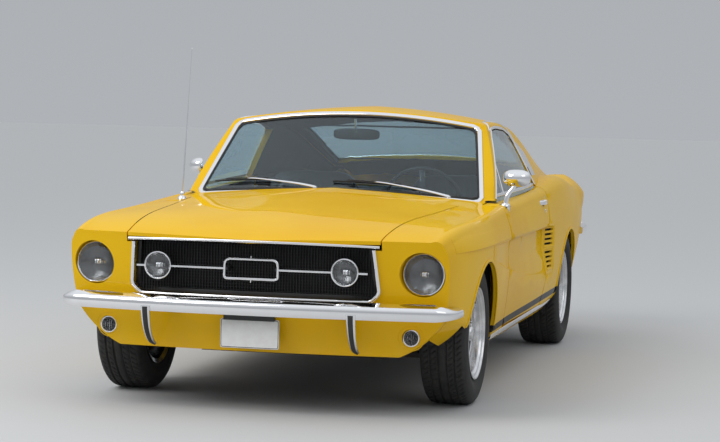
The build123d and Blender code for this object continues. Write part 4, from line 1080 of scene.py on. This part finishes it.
def build_cowl_corner(side, sign):
    """Panel between a fender's rear and the cowl beside the hood: laid on both, and straight between them over the
    notch that the panels leave."""
    tree = surface_tree("fenders", "cowl")
    rows = []
    station = np.linspace(1.170, 1.262, 24)
    bare = (station > NOTCH_FRONT) & (station < NOTCH_REAR)
    for share in np.linspace(0, 1, 12):
        inner = 0.6455 + (station - 1.2) * 0.0912
        x = inner + (0.738 - inner) * share
        level = from_above(tree, sign * x, station, 1.2)[:, 2]
        level[bare] = np.interp(station[bare], station[~bare], level[~bare])
        rows.append(at(sign * x, y_at(station), level + STAND))
    painted_sheet(f"cowl_corner_{side}", np.array(rows), (0, 0, -0.008), 25)


PILLAR_FOOT = 0.852


def build_pillar(side, sign):
    """Windscreen pillar: at each height a bent plate that runs from the windscreen's edge, round the corner of the
    greenhouse, to the front edge of the door window. The side's x comes from rays on the door glass below it."""
    tree = surface_tree(f"door_glass_{side}")
    run = 0.12
    rows = []
    for z in np.linspace(PILLAR_FOOT, 1.206, 44):
        # Rays meet the door glass only between these heights; beyond them the side goes on at its lean
        level = np.clip(z, 0.872, 1.170)
        first = 1.625 + (level - 0.860) * 1.4435
        near, far = np.abs(from_side(tree, sign, np.array([first, first + run]), level)[:, 0])

        def side_x(s):
            return near + (far - near) * (s - first) / run + 0.0082 - SIDE_LEAN * (z - level)

        corner = near
        for step in range(5):
            bend = screen_station(corner, z)
            corner = side_x(bend)
        inner = 0.696 - (z - 0.872) * 0.2596
        front_x = np.linspace(inner, corner - 0.010, 8)
        front = at(front_x, screen_station(front_x, z) - 0.001)
        rear = max(1.650 + (z - 0.860) * 1.258, bend + 0.014)
        side_s = np.linspace(bend + 0.010, rear, 7)
        flank = at(side_x(side_s), side_s)
        t = np.linspace(0, 1, 7)[1:-1, None]
        turn = (1 - t) ** 2 * front[-1] + 2 * t * (1 - t) * np.array([corner, bend]) + t ** 2 * flank[0]
        outer = np.vstack([front, turn, flank])
        share = np.concatenate([0 * front_x, t[:, 0], 0 * side_s + 1])[:, None]
        inside = outer + (1 - share) * [0, 0.007] + share * [-0.0055, 0]
        ring = np.vstack([outer, inside[::-1]])
        lift = np.maximum(z, PILLAR_FOOT + 0.022 * smooth_step(ring[:, 0], 0.718, 0.726))
        rows.append(at(sign * ring[:, 0], y_at(ring[:, 1]), lift))
    points = np.array(rows)
    caps = [(points[k] + points[k][::-1])[None] / 2 for k in (0, -1)]
    patches = Patches().add(np.concatenate([caps[0], points, caps[1]]), wrap_v=True)
    return finish_piece(f"pillar_{side}", patches, ["body_paint"], sharp=35)


def build_side_glass(side, sign):
    """Door glass over a grid between its foot and its curved top edge, on the bowed side of the greenhouse."""
    tree = surface_tree(f"door_glass_{side}")
    outline = np.array([(1.660, 0.8605), (2.091, 1.199), (2.250, 1.2065), (2.480, 1.1975), (2.6445, 1.165),
                        (2.7205, 0.905)])
    station = np.unique(np.concatenate([np.linspace(1.662, 2.7185, 90), outline[1:-1, 0]]))
    foot = 0.862 + 0.040 * (station - 1.66) / 1.05
    top = np.maximum(np.interp(station, outline[:, 0], outline[:, 1]), foot + 0.0005)
    share = np.linspace(0, 1, 26)
    columns = []
    for s, low, high in zip(station, foot, top):
        z = low + (high - low) * share
        seen = np.clip(s, 1.72, 2.60), np.clip(z, 0.885, 1.15)
        x = from_side(tree, sign, *seen)[:, 0] - sign * SIDE_LEAN * (z - seen[1])
        columns.append(at(x, y_at(s), z))
    points = np.stack(columns, 1)
    finish_piece(f"side_glass_{side}", sheet(Patches(), points, (-sign * 0.005, 0, 0)), ["window_glass"],
                 f"door_{side}", replaces=(f"door_glass_{side}",))


def build_arch_lips():
    """Rolled lip round each wheel opening, laid on the side panels."""
    patches = Patches()
    tree = surface_tree("fenders", "quarter_panels", "nose_panel")
    for axle, back, radius in ((FRONT_AXLE, 0.014, 0.3325), (REAR_AXLE, 0.022, 0.3415)):
        angle = np.linspace(math.radians(2), math.radians(178), 60)
        station = axle + back - radius * np.cos(angle)
        z = 0.310 + radius * np.sin(angle)
        for sign in (1.0, -1.0):
            path = from_side(tree, sign, station, z, 0.0005)
            swept(patches, path, oval(0.0075, 0.0045, 2.4, 12), (sign, 0, 0))
    finish_piece("arch_lips", patches, ["body_paint"], sharp=50)


# Mirrors, handles, wipers and antenna

# Columns: station of the head; how far it is turned outwards, in degrees
MIRRORS = {"left": (1.622, 0.0), "right": (2.110, 62.0)}
# Centre of a head
MIRROR_X, MIRROR_Z = 0.868, 0.985


def build_mirror(side, sign):
    """Bright bowl head on a slanted stalk: an oval outline that shrinks to a pole as its depth rises, and a glass."""
    station, degrees = MIRRORS[side]
    patches = Patches()
    outline = oval(0.066, 0.041, 2.7, 48)
    share = np.concatenate([np.linspace(0, 0.9, 10), np.linspace(0.93, 1.0, 6)])
    depth = 0.046 * (1 - share ** 2.4) ** 0.62
    rows = [(q, -d, 0) for q, d in zip(share, depth)]
    rows += [(1.0, 0.006, 0), (0.985, 0.009, 0), (0.94, 0.009, 0), (0.93, 0.004, 1), (0.0, 0.004, 1)]
    table = np.array(rows)
    head = at(table[:, :1] * outline[:, 0], table[:, 1:2],
              table[:, :1] * outline[:, 1])
    turn = math.radians(degrees)
    spun = at(head[..., 0] * math.cos(turn) - head[..., 1] * math.sin(turn),
              head[..., 0] * math.sin(turn) + head[..., 1] * math.cos(turn), head[..., 2])
    centre = np.array([MIRROR_X, y_at(station), MIRROR_Z])
    kinds = np.repeat(table[1:, 2], len(outline))
    patches.add(turned(centre + spun, sign), wrap_v=True, kind=kinds)
    foot = np.array([0.820, y_at(station - 0.022), 0.858])
    stalk = spline([foot, foot + [0.010, 0.002, 0.045], centre + [-0.010, -0.010, -0.040],
                    centre + [-0.004, -0.016, -0.010]], 16)
    swept(patches, turned(stalk, sign), oval(0.0100, 0.0085, 2.2, 16), (0, 1, 0), scale=np.linspace(1.3, 0.9, 16))
    revolved(patches, [(-0.060, 0), (-0.060, 0.0235), (-0.002, 0.0235), (0.003, 0.021), (0.007, 0.014), (0.009, 0)],
             turned(foot, sign), (0, 0, 1), 32)
    finish_piece(f"mirror_{side}", patches, ["chrome_trim", "reflector"], f"door_{side}")


def build_handle(side, sign):
    """Bright door handle: a bowed bar on two feet with a push button, and a key lock below."""
    patches = Patches()
    z = 0.831
    curve = spline([(0.851, 2.524), (0.864, 2.538), (0.870, 2.562), (0.870, 2.618), (0.864, 2.642), (0.851, 2.656)], 30)
    path = at(curve[:, 0], y_at(curve[:, 1]), z)
    swept(patches, turned(path, sign), oval(0.010, 0.0045, 2.6, 14), (sign, 0, 0))
    revolved(patches, [(0, 0), (0, 0.013), (0.014, 0.013), (0.020, 0.0105), (0.021, 0)],
             turned((0.850, y_at(2.645), z), sign), (sign, 0, 0), 24)
    cushion_block(patches, *np.sort([turned((0.844, y_at(2.512), z - 0.014), sign),
                                     turned((0.8585, y_at(2.668), z + 0.014), sign)], axis=0), 3.5, 12, 24)
    revolved(patches, [(-0.010, 0), (-0.010, 0.011), (0.006, 0.011), (0.008, 0.006), (0.008, 0)],
             turned((0.860, y_at(2.640), z - 0.045), sign), (sign, 0, 0), 24)
    finish_piece(f"handle_{side}", patches, body=f"door_{side}")


# Direction straight out of the windscreen
SCREEN_OUT = (0, -0.63, 0.77)
# Wipers, columns: pivot's x, station and z; blade's two ends as x and z
WIPERS = (((-0.096, 1.508, 0.912), (-0.630, 0.926), (-0.280, 0.944)),
          ((0.552, 1.560, 0.884), (-0.012, 0.948), (0.396, 0.928)))


def build_wipers():
    """Two bright arms, each from its pivot on the cowl to the middle of a black blade that lies along the glass."""
    patches = Patches()
    for foot, start, end in WIPERS:
        foot = np.array([foot[0], y_at(foot[1]), foot[2]])
        x = np.linspace(start[0], end[0], 24)
        z = np.linspace(start[1], end[1], 24) + 0.004 * np.sin(np.linspace(0, np.pi, 24))
        blade = at(x, y_at(screen_station(x, z)) - 0.006, z)
        swept(patches, blade, oval(0.0045, 0.0035, 3, 10), SCREEN_OUT, kind=1)
        spine = blade + [0, -0.009, 0.008]
        swept(patches, spine[4:-4], oval(0.0035, 0.002, 3, 10), SCREEN_OUT, kind=1)
        joint = (spine[11] + spine[12]) / 2
        root = foot + [0, -0.003, 0.006]
        arm = spline([root, root + (joint - root) * 0.3 + [0, -0.005, 0.006],
                      root + (joint - root) * 0.8 + [0, -0.004, 0.005], joint], 24)
        swept(patches, arm, oval(0.0050, 0.0026, 3, 10), SCREEN_OUT, scale=np.linspace(1.4, 0.7, 24))
        revolved(patches, [(-0.030, 0), (-0.030, 0.012), (0.002, 0.012), (0.008, 0.009), (0.010, 0)], foot,
                 (0, -0.35, 0.94), 20)
    finish_piece("wiper_pair", patches, ["chrome_trim", "rubber_black"], slot="pipe_steel", replaces=("wipers",))


def build_antenna():
    """Tapered whip with a small ball at its tip, on a bright domed base."""
    patches = Patches()
    foot = np.array([-0.670, y_at(1.212), 0.852])
    top = np.array([-0.638, y_at(1.224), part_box("antenna")[1][2] - 0.002])
    way = unit(top - foot)
    reach = np.linalg.norm(top - foot)
    revolved(patches, [(0, 0), (0, 0.004), (reach * 0.4, 0.0030), (reach * 0.4, 0.0024), (reach * 0.75, 0.0022),
                       (reach * 0.75, 0.0016), (reach - 0.006, 0.0014), (reach - 0.005, 0.003), (reach, 0)], foot,
             way, 12)
    revolved(patches, [(-0.012, 0), (-0.012, 0.022), (0.002, 0.021), (0.012, 0.015), (0.016, 0.011), (0.026, 0.012),
                       (0.033, 0.009), (0.036, 0)], foot, way, 28)
    finish_piece("whip_antenna", patches, replaces=("antenna",))


# Mouldings

def screen_outline(grow):
    """Closed outline of the windscreen on its bowed surface, grown by a distance: bowed foot and head."""
    x = np.linspace(-1, 1, 40)
    low = at(x * (0.698 + grow), 0.903 - grow - 0.031 * x ** 2)
    high = at(x[::-1] * (0.610 + grow), 1.267 + grow - 0.056 * x[::-1] ** 2)
    sides = np.linspace(0, 1, 18)[1:-1, None]
    outline = np.vstack([low, low[-1] + (high[0] - low[-1]) * sides, high, high[-1] + (low[0] - high[-1]) * sides])
    smooth = sum(np.roll(outline, k, 0) for k in (-1, 0, 1)) / 3
    return at(smooth[:, 0], y_at(screen_station(*smooth.T)), smooth[:, 1])


def build_screen_trim():
    """Bright moulding round the windscreen with a black gasket inside it."""
    patches = Patches()
    up = (0, -0.64, 0.77)
    swept(patches, screen_outline(0.008), oval(0.0115, 0.0050, 2.5, 14), up, closed=True)
    swept(patches, screen_outline(-0.006) + [0, 0.005, 0], oval(0.0065, 0.0045, 3, 12), up, closed=True, kind=1)
    finish_piece("windscreen_trim", patches, ["chrome_trim", "rubber_black"])


# Side window outline as (station, z), from the foot of its front edge to the foot of its rear edge
SIDE_WINDOW = ((1.665, 0.872), (2.084, 1.205), (2.250, 1.213), (2.480, 1.204), (2.652, 1.172), (2.724, 0.880))


def side_path(grow, sign, tree):
    """Side window outline grown by a distance, laid on the greenhouse from outside."""
    line = rounded(SIDE_WINDOW, 0.05, 6, closed=False)
    line = spread(line, 0.02)
    tangent = unit(np.gradient(line, axis=0))
    line = line + grow * at(-tangent[:, 1], tangent[:, 0])
    return from_side(tree, sign, *line.T)


def build_side_trim(pillars):
    """Bright drip rail and window edging on each side of the roof."""
    tree = surface_tree("roof_panel", pieces=pillars)
    patches = Patches()
    for sign in (1.0, -1.0):
        edge = side_path(0.007, sign, tree)
        swept(patches, edge, oval(0.0075, 0.0045, 2.5, 12), (sign, 0, 0.25))
        rail = side_path(0.034, sign, tree)
        rail = rail[(rail[:, 1] > y_at(2.02)) & (rail[:, 1] < y_at(2.75)) & (rail[:, 2] > 1.0)]
        swept(patches, rail, oval(0.0045, 0.0055, 2.5, 12), (sign, 0, 0.5))
    finish_piece("drip_rails", patches)


def build_back_trim():
    """Bright moulding and gasket round the rear window, laid on the sloping roof."""
    tree = surface_tree("roof_panel")
    patches = Patches()
    for grow, section, kind in ((0.008, oval(0.0080, 0.0045, 2.5, 12), 0), (-0.004, oval(0.007, 0.004, 3, 12), 1)):
        outline = rounded([(-0.530 - grow, 2.960 - grow), (0.530 + grow, 2.960 - grow), (0.560 + grow, 3.900 + grow),
                           (-0.560 - grow, 3.900 + grow)], 0.05)
        outline = spread(np.vstack([outline, outline[:1]]), 0.03)[:-1]
        high = 1.300 - (outline[:, 1] - 2.9) * 0.25
        start = at(outline[:, 0], y_at(outline[:, 1]), high + 0.2)
        wide = start * 1.0
        wide[:, 0] = outline[:, 0] * (1 + 0.012 / 0.53)
        height = laid_on(tree, wide if kind else start, (0, 0, -1))[:, 2]
        path = at(outline[:, 0], y_at(outline[:, 1]), height - 0.003 * kind)
        swept(patches, path, section, (0, 0.35, 0.94), closed=True, kind=kind)
    finish_piece("rear_window_trim", patches, ["chrome_trim", "rubber_black"])


def build_door_trim(side, sign):
    """Bright belt strip at the foot of the door glass, and the slanted divider of the vent window."""
    tree = surface_tree(f"door_glass_{side}")
    patches = Patches()
    station = np.linspace(1.640, 2.712, 40)
    z = 0.893 + 0.028 * (station - 1.64) / 1.07
    belt = from_side(tree, sign, station, z, 0.001)
    swept(patches, belt, oval(0.0085, 0.0045, 2.6, 12), (sign, 0, 0.2))
    height = np.linspace(0.893, 1.083, 16)
    slant = 1.868 + (height - 0.89) * 0.22
    bar = from_side(tree, sign, slant, height, 0.001)
    swept(patches, bar, oval(0.0085, 0.0050, 2.8, 12), (sign, 0, 0.25))
    finish_piece(f"vent_window_{side}", patches, body=f"door_{side}")


def build_rocker_mouldings():
    """Bright moulding along each sill, from arch to arch."""
    tree = surface_tree("sills", "fenders", "quarter_panels")
    patches = Patches()
    for sign in (1.0, -1.0):
        station = np.linspace(1.185, 3.205, 60)
        z = 0.262 + 0.016 * (station - 1.185) / 2.02
        path = from_side(tree, sign, station, z, -0.001)
        path[:, 0] = path[:, 0].mean() * 0.5 + path[:, 0] * 0.5
        scale = np.clip(np.minimum(np.arange(60), np.arange(60)[::-1]) / 3 + 0.4, 0, 1)
        swept(patches, path, oval(0.0150, 0.0050, 3.0, 16), (sign, 0, -0.25), scale=at(scale, scale))
    finish_piece("rocker_mouldings", patches)


def build_pillar_louvres():
    """Slanted upright vanes on each rear pillar, over black strips that are painted shade of the vents behind them."""
    tree = surface_tree("roof_panel")
    patches = Patches()
    for sign in (1.0, -1.0):
        for number in range(6):
            height = np.linspace(0.965, 1.135 - 0.010 * number, 12)
            station = 2.762 + 0.026 * number - (height - 0.965) * 0.18
            path = from_side(tree, sign, station, height)
            # Black strip under the vane: painted shade of the vent.
            swept(patches, path, oval(0.0075, 0.0022, 3, 10), (sign, 0, 0.3), kind=1)
            swept(patches, path + [sign * 0.002, 0.0068, 0], oval(0.0022, 0.0050, 2.4, 10), (sign, 0, 0.3))
    finish_piece("pillar_louvres", patches, ["chrome_trim", "pocket_black"], slot="black_trim")


# Tail

# Station of the lamps' face, and height of the fuel cap
TAIL_FACE, CAP_Z = 4.553, 0.756


def build_tail_lamps():
    """Three upright red lamps a side in bright bezels, with level ribs."""
    patches = Patches()
    for sign in (1.0, -1.0):
        for x in (0.430, 0.520, 0.610):
            rear = y_at(TAIL_FACE)
            low, high = (sign * x - 0.033, rear - 0.035, 0.692), (sign * x + 0.033, rear + 0.007, 0.828)
            cushion_block(patches, low, high, 6.0, 24, 40)
            outline = rounded([(sign * x - 0.036, 0.689), (sign * x + 0.036, 0.689), (sign * x + 0.036, 0.831),
                               (sign * x - 0.036, 0.831)], 0.012, 5)
            path = at(outline[:, 0], rear, outline[:, 1])
            swept(patches, path, oval(0.0042, 0.0060, 2.4, 10), (0, 1, 0), closed=True, kind=1)
            for z in np.arange(0.704, 0.822, 0.0118):
                box_patch(patches, (sign * x - 0.028, rear + 0.004, z), (sign * x + 0.028, rear + 0.0082, z + 0.003), 0)
    finish_piece("bar_tail_lamps", patches, ["red_lens", "chrome_trim"], replaces=("tail_lamps",))


def build_fuel_cap():
    """Round cap in the middle of the tail, with a ring of beads."""
    cap = Patches()
    centre = (0, y_at(TAIL_FACE), CAP_Z)
    revolved(cap, [(-0.030, 0), (-0.030, 0.0655), (0.002, 0.0655), (0.006, 0.062), (0.007, 0.054), (0.004, 0.050),
                   (0.010, 0.044), (0.014, 0.030), (0.0155, 0)], centre, (0, 1, 0), 64)
    angle = whole_turn(36)
    for a in angle:
        spot = (0.058 * math.cos(a), centre[1] + 0.007, CAP_Z + 0.058 * math.sin(a))
        revolved(cap, [(-0.001, 0), (-0.001, 0.003), (0.001, 0.002), (0.001, 0)], spot, (0, 1, 0), 8)
    finish_piece("fuel_cap", cap)


def build_exhaust_tips():
    """Bright open ends of the exhaust pipes."""
    tips = Patches()
    for sign in (1.0, -1.0):
        end = (sign * 0.260, y_at(4.448), 0.205)
        revolved(tips, [(-0.10, 0.027), (-0.10, 0.031), (0.010, 0.033), (0.012, 0.031), (0.010, 0.029), (-0.10, 0.027)],
                 end, (0, 1, 0), 32)
    finish_piece("exhaust_tips", tips, slot="pipe_steel")


# Cabin

def build_seat(name, node, x, width, cushion, back, pitch):
    """Seat of two crowned cushions with sewn channels: grooves where |sin(pi x / pitch)| nears 0, and piping."""
    patches = Patches()
    (s0, s1), (z0, z1) = cushion
    half = width / 2

    def quilt_top(points):
        inner = np.clip((half - 0.045 - np.abs(points[..., 0] - x)) / 0.01, 0, 1)
        inner = inner * np.clip((points[..., 2] - (z1 - 0.05)) / 0.02, 0, 1)
        groove = np.exp(-((((points[..., 0] - x) / pitch + 0.5) % 1 - 0.5) * pitch / 0.005) ** 2)
        crown = 0.014 * np.cos(np.pi * (points[..., 0] - x) / width)
        return points + at(0, 0, inner * (crown - 0.008 * groove) - 0.010 * (inner > 0))

    cushion_block(patches, (x - half + 0.004, y_at(s0 + 0.004), z0), (x + half - 0.004, y_at(s1), z1 - 0.004), 6.0, 40,
                  160, bend=quilt_top)
    (b0, b1), (t0, t1), (low, high) = back
    lean = (t0 - b0) / (high - low)
    depth = (b1 - b0 + t1 - t0) / 2

    def quilt_front(points):
        inner = np.clip((half - 0.05 - np.abs(points[..., 0] - x)) / 0.01, 0, 1)
        inner = inner * np.clip((high - 0.05 - points[..., 2]) / 0.02, 0, 1) * (points[..., 1] < y_at(b0 + depth * 0.4))
        groove = np.exp(-((((points[..., 0] - x) / pitch + 0.5) % 1 - 0.5) * pitch / 0.005) ** 2)
        moved = inner * (0.008 * groove)
        return points + at(0, moved + lean * (points[..., 2] - low), 0)

    cushion_block(patches, (x - half + 0.008, y_at(b0 + 0.004), low),
                  (x + half - 0.008, y_at(b0 + depth), high - 0.004), 5.0, 48, 160, bend=quilt_front)
    piece = finish_piece(name, patches, ["black_vinyl"], replaces=(node,), sharp=60)


# Columns: x, height and radius of a dial
DIALS = ((0.250, 0.800, 0.026), (0.305, 0.785, 0.045), (0.405, 0.785, 0.045), (0.475, 0.800, 0.026),
         (0.370, 0.730, 0.022))


def build_dashboard():
    """Dash with a padded brow, a bright strip, five round dials before the driver and a glove box lid."""
    patches = Patches()
    section = rounded([(1.505, 0.645), (1.690, 0.645), (1.722, 0.755), (1.716, 0.800), (1.738, 0.836), (1.700, 0.862),
                       (1.505, 0.866)], 0.018, 5)
    x = np.linspace(-0.690, 0.690, 60)
    shrink = 1 - 0.02 * (np.abs(x) / 0.69) ** 6
    points = at(x[:, None], y_at(1.6 + (section[:, 0] - 1.6) * shrink[:, None]),
                0.75 + (section[:, 1] - 0.75) * shrink[:, None])
    points = np.concatenate([np.broadcast_to(points[0].mean(0), points[:1].shape), points,
                             np.broadcast_to(points[-1].mean(0), points[:1].shape)])
    patches.add(points, wrap_v=True)
    facing = (0, 0.97, -0.1)
    for dial_x, height, radius in DIALS:
        centre = (dial_x, y_at(1.722), height)
        revolved(patches, [(-0.010, 0), (-0.010, radius), (0.006, radius), (0.008, radius - 0.002),
                           (0.006, radius - 0.004), (0.001, radius - 0.005), (0.001, 0)], centre, facing, 32, kind=1)
        revolved(patches, [(0.0012, 0), (0.0012, radius - 0.006), (0.0022, 0)], centre, facing, 24, kind=2)
    for low, high in (((-0.62, y_at(1.700), 0.690), (-0.22, y_at(1.7215), 0.775)),
                      ((-0.12, y_at(1.700), 0.690), (0.12, y_at(1.7220), 0.778))):
        cushion_block(patches, low, high, 9, 12, 24, kind=0)
    strip = [(-0.66, y_at(1.724), 0.785), (0.20, y_at(1.724), 0.785)]
    swept(patches, strip, oval(0.004, 0.002, 3, 8), (0, 1, 0), kind=1)
    finish_piece("padded_dash", patches, ["black_trim", "chrome_trim", "pocket_black"], replaces=("dashboard",))


def build_steering_wheel():
    """Thin rim on three flat spokes with a hub, square to its column."""
    patches = Patches()
    axis = unit(np.array([0, 0.9, 0.42]))
    centre = np.array([0.370, y_at(1.880), 0.840])
    turn = whole_turn(12)
    revolved(patches, at(0.0095 * np.cos(turn), 0.190 + 0.0095 * np.sin(turn)), centre, axis, 72, closed=True)
    across = np.array([1.0, 0, 0])
    rise = np.cross(axis, across)
    for angle in (0.0, np.pi, -np.pi / 2):
        way = across * math.cos(angle) + rise * math.sin(angle)
        path = np.array([centre + way * r - axis * 0.03 * (1 - r / 0.19) for r in (0.02, 0.07, 0.12, 0.183)])
        swept(patches, path, oval(0.014, 0.003, 3, 12), axis, kind=1)
    hub = [(-0.05, 0), (-0.05, 0.028), (-0.02, 0.040), (-0.012, 0.040), (-0.004, 0.030), (0, 0)]
    revolved(patches, hub, centre, axis, 32)
    revolved(patches, [(-0.27, 0), (-0.27, 0.020), (-0.045, 0.018), (-0.045, 0)], centre, axis, 24)
    finish_piece("rim_and_column", patches, ["black_trim", "chrome_trim"], replaces=("steering_wheel",))


def build_cabin_mirror():
    """Inside mirror on a stem from the windscreen's head."""
    patches = Patches()
    y = y_at(1.960)
    cushion_block(patches, (-0.118, y - 0.012, 1.140), (0.118, y + 0.012, 1.196), 4.0, 20, 40)
    swept(patches, spline([(0, y - 0.010, 1.170), (0, y - 0.022, 1.205), (0, y_at(1.925), 1.246)], 10),
          oval(0.006, 0.006, 2, 10), (1, 0, 0), kind=1)
    finish_piece("cabin_mirror", patches, ["black_trim", "chrome_trim"])


def build_door_card(side, sign):
    """Inner trim of a door: a thin padded card with an armrest, a pull and a window winder."""
    patches = Patches()
    inner = 0.7335
    for low, high, power in (((inner - 0.012, 1.540, 0.330), (inner, 2.690, 0.840), 10),
                             ((inner - 0.050, 2.060, 0.600), (inner - 0.006, 2.460, 0.655), 4),
                             ((inner - 0.016, 1.600, 0.400), (inner - 0.006, 2.620, 0.560), 8)):
        corners = [turned((x, y_at(s), z), sign) for x, s, z in (low, high)]
        cushion_block(patches, np.minimum(*corners), np.maximum(*corners), power, 24, 48)
    centre = turned((inner - 0.010, y_at(1.86), 0.62), sign)
    revolved(patches, [(0, 0), (0, 0.018), (0.010, 0.014), (0.012, 0)], centre, (-sign, 0, 0), 20, kind=1)
    swept(patches, np.array([centre + [-sign * 0.014, 0, 0], centre + [-sign * 0.020, 0.06, -0.06]]),
          oval(0.006, 0.003, 3, 10), (sign, 0, 0), kind=1)
    finish_piece(f"door_card_{side}", patches, ["black_vinyl", "chrome_trim"], f"door_{side}", sharp=50)


# Panels copied from the frame, with a dark inner side

def dress_panel(node, body, inside, height, bare=None):
    """Visible copy of a CAD panel whose faces that look inwards, towards a line at height above the axis of the car,
    take the inside material. bare gives corners of a box whose faces are left out."""
    source = NODES[node].data
    shape = bmesh.new()
    shape.from_mesh(source)
    bmesh.ops.remove_doubles(shape, verts=shape.verts, dist=2e-5)
    dropped = []
    for face in shape.faces:
        middle = face.calc_center_median()
        reach = Vector((middle.x, 0, middle.z - height))
        face.material_index = int(face.normal.dot(reach.normalized()) < -0.25)
        face.smooth = True
        if bare and any(all(a <= abs(c) <= b if k == 0 else a <= c <= b for k, (a, b, c) in
                            enumerate(zip(low, high, middle))) for low, high in bare):
            dropped.append(face)
    bmesh.ops.delete(shape, geom=dropped, context="FACES")
    mesh = bpy.data.meshes.new(f"{node}_shell")
    shape.to_mesh(mesh)
    shape.free()
    mesh.set_sharp_from_angle(angle=math.radians(30))
    add_piece(mesh.name, mesh, ("body_paint", inside), body, (node,))


def dress_panels():
    """Painted panels with their dark inner sides; the doors leave out what their mirror and handle replace."""
    for node, inside, height in (("fenders", "underbody_paint", 0.40), ("quarter_panels", "underbody_paint", 0.45),
                                 ("roof_panel", "headlining", 0.85), ("cowl", "black_trim", 0.55),
                                 ("hood", "underbody_paint", 0.40), ("boot_lid", "underbody_paint", 0.40),
                                 ("front_valance", "underbody_paint", 0.40)):
        body = {"hood": "hood", "boot_lid": "boot_lid"}.get(node, "body")
        dress_panel(node, body, inside, height)
    for side in ("left", "right"):
        station = MIRRORS[side][0]
        mirror_box = ((0.795, y_at(station - 0.10), 0.8575), (1.0, y_at(station + 0.10), 1.10))
        handle_box = ((0.8535, y_at(2.525), 0.820), (0.95, y_at(2.655), 0.842))
        dress_panel(f"door_{side}", f"door_{side}", "black_vinyl", 0.55, (mirror_box, handle_box))


add_camera()
add_sky()
add_lamp("key_lamp", (-5.5, -7.0, 7.5), 6.0, 520)
add_lamp("fill_lamp", (6.5, -5.0, 5.5), 5.0, 40)
add_floor()
finish_frame()
build_wheels()
build_lamps()
build_grille()
build_surround()
build_front_bumper()
build_plate()
build_rear_bumper()
for build in (build_scallop_start, build_crease, build_mirror_pad, build_scoop, build_deck_corner, build_cowl_corner):
    both_sides(build)
PILLARS = both_sides(build_pillar)
both_sides(build_side_glass)
build_arch_lips()
both_sides(build_mirror)
both_sides(build_handle)
build_wipers()
build_antenna()
build_screen_trim()
build_side_trim(PILLARS)
build_back_trim()
both_sides(build_door_trim)
build_rocker_mouldings()
build_pillar_louvres()
build_tail_lamps()
build_fuel_cap()
build_exhaust_tips()
# Seat cushion: stations and heights. Seat back: stations at its foot and at its head, and heights
FRONT_SEAT_CUSHION = ((2.080, 2.580), (0.262, 0.480))
FRONT_SEAT_BACK = ((2.480, 2.580), (2.620, 2.700), (0.482, 0.960))
for side, seat_x in (("left", 0.390), ("right", -0.390)):
    build_seat(f"front_seat_{side}", "front_seats", seat_x, 0.500, FRONT_SEAT_CUSHION, FRONT_SEAT_BACK, 0.058)
build_seat("bench_seat", "rear_seat", 0.0, 1.120, ((2.985, 3.330), (0.468, 0.580)),
           ((3.330, 3.420), (3.450, 3.520), (0.472, 0.860)), 0.070)
build_dashboard()
build_steering_wheel()
build_cabin_mirror()
both_sides(build_door_card)
dress_panels()
bpy.context.scene.view_settings.view_transform = "Standard"
